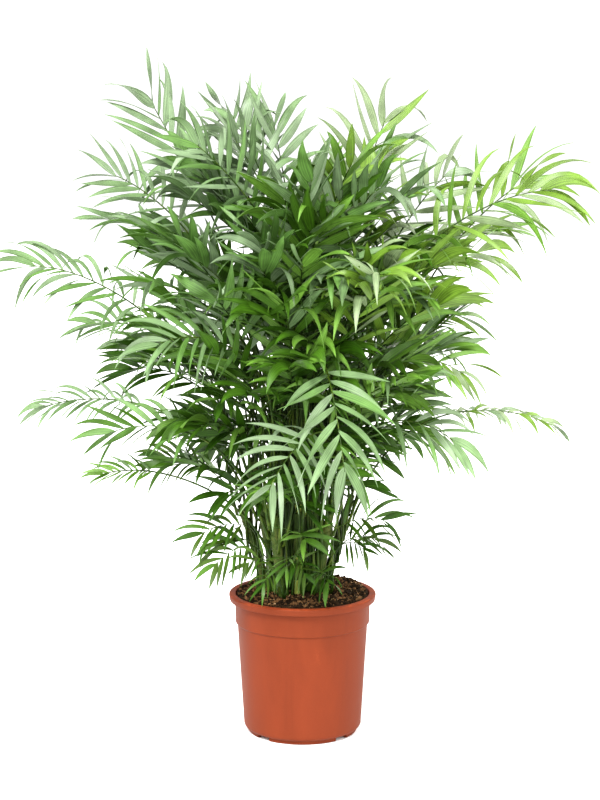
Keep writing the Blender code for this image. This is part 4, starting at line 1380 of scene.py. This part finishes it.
def growFrond(frond, draw):
    parts = {}
    name = frond["name"]
    wide = leafWidths.get(name, leafWidths.get(name.split("_")[0], 1.0))
    slender = leaflet["slender"] * wide
    reach = (frond["blade"][3] - frond["blade"][0]).length
    count = max(round(reach / (frond["length"] * leaflet["spacing"] * wide**0.6)), 4)
    narrow, more = leaflet["broadening"]
    for i in range(count):
        shorter, broader, closed = leaflet["lastPair"] if i == count - 1 else (1.0, 1.0, 0.0)
        for hand in (-1, 1):
            share = min((i + leaflet["place"] + leaflet["stagger"] * hand) / count, leaflet["lastPlace"])
            angle = leaflet["rootAngle"] + (leaflet["endAngle"] - leaflet["rootAngle"]) * share
            angle += eitherWay(draw, leaflet["angleStray"]) - closed
            length = leafletLength(frond, share) * draw.uniform(*leaflet["lengths"]) * shorter
            width = frond["length"] * slender * (narrow + more * share) * draw.uniform(*leaflet["widths"])
            droop = frond["hang"] * draw.uniform(*leaflet["hangShare"])
            droop = max(droop + eitherWay(draw, leaflet["stray"]), leaflet["leastDroop"])
            if draw.random() < leaflet["limp"]:
                droop += draw.uniform(*leaflet["limpDroop"])
            roll = draw.gauss(0.0, leaflet["roll"])
            placed = leafletFrame(frond, 1.0 + share, hand, angle, roll)
            bends = (droop, draw.uniform(*leaflet["sickle"]), draw.gauss(0.0, leaflet["twist"]))
            part = parts.setdefault(pickTone(frond, draw), leafMesh())
            growLeaflet(part, leafletSpine(*placed, length, *bends), width * broader)
    return parts


blank = leafletBlank()
draw = random.Random(77)
grown = {tone: leafMesh() for tone in leafTones}
for frond in allFronds:
    for tone, part in growFrond(frond, draw).items():
        moveInto(grown[tone], part)
for tone, bm in grown.items():
    print("leaves:", tone, len(bm.faces) // (2 * leaflet["rows"]))
    bmesh.ops.solidify(bm, geom=bm.faces, thickness=leaflet["thickness"])
    nodes = sorted({frond["name"] for frond in fronds if frond["tone"] == tone})
    finishPiece("leaves_" + tone, bm, leafMaterial(tone), nodes, 60)
bpy.data.meshes.remove(blank)


# Camera, lights and floor

photo = {
    "height": 800,  # in the photo's pixels, as the focal length is
    "focal": 1850.0,
    "pitch": 8.17,
    "place": (-0.004, -2.95, 0.97),
}
sensor = 36.0
cameraData = bpy.data.cameras.new("photo_camera")
cameraData.sensor_fit = "VERTICAL"
cameraData.sensor_height = sensor
cameraData.lens = sensor * photo["focal"] / photo["height"]
camera = bpy.data.objects.new("photo_camera", cameraData)
camera.location = photo["place"]
camera.rotation_euler = (math.radians(90.0 - photo["pitch"]), 0.0, 0.0)
scene.collection.objects.link(camera)
scene.camera = camera

# Each lamp: name, place, width, power, colour
lampRows = [
    ("key", (-1.4, -2.2, 3.2), 1.6, 60.0, (1.0, 0.99, 0.97)),
    ("front", (0.6, -3.2, 1.5), 2.0, 75.0, (1.0, 0.99, 0.97)),
    ("glow", (1.9, 1.2, 2.6), 1.4, 50.0, (1.0, 1.0, 0.95)),
    ("left", (-2.2, -0.7, 1.1), 1.2, 18.0, (1.0, 0.99, 0.97)),
    ("right", (2.2, -0.7, 1.1), 1.2, 18.0, (1.0, 0.99, 0.97)),
]
lampAim = Vector((0.0, 0.0, 0.6))
overhead = {"power": 4.3, "spread": 18, "turn": (36, -14, 0)}
floorDisc = {"radius": 14.0, "steps": 96, "drop": 0.0005}
for name, place, width, power, colour in lampRows:
    lampData = bpy.data.lights.new(name, "AREA")
    lampData.size = width
    lampData.energy = power
    lampData.color = colour
    lamp = bpy.data.objects.new(name, lampData)
    lamp.location = place
    aim = lampAim - lamp.location
    lamp.rotation_euler = aim.to_track_quat("-Z", "Y").to_euler()
    scene.collection.objects.link(lamp)
sunData = bpy.data.lights.new("overhead", "SUN")
sunData.energy = overhead["power"]
sunData.angle = math.radians(overhead["spread"])
sun = bpy.data.objects.new("overhead", sunData)
sun.rotation_euler = [math.radians(angle) for angle in overhead["turn"]]
scene.collection.objects.link(sun)

floorMesh = bpy.data.meshes.new("floor")
bm = bmesh.new()
bmesh.ops.create_circle(bm, cap_ends=True, segments=floorDisc["steps"], radius=floorDisc["radius"])
bm.to_mesh(floorMesh)
bm.free()
floorMaterial, _, _ = newMaterial("pale_floor", (0.9, 0.9, 0.9), 0.85, 0.2)
floorMesh.materials.append(floorMaterial)
floor = bpy.data.objects.new("floor", floorMesh)
floor.location.z = -floorDisc["drop"]
scene.collection.objects.link(floor)

world = bpy.data.worlds.new("studio")
world.use_nodes = True
world.node_tree.nodes["Background"].inputs["Color"].default_value = (1.0, 1.0, 1.0, 1.0)
world.node_tree.nodes["Background"].inputs["Strength"].default_value = 1.0
scene.world = world
scene.view_settings.view_transform = "Standard"
scene.view_settings.look = "Medium High Contrast"
print("camera, lights and floor set")
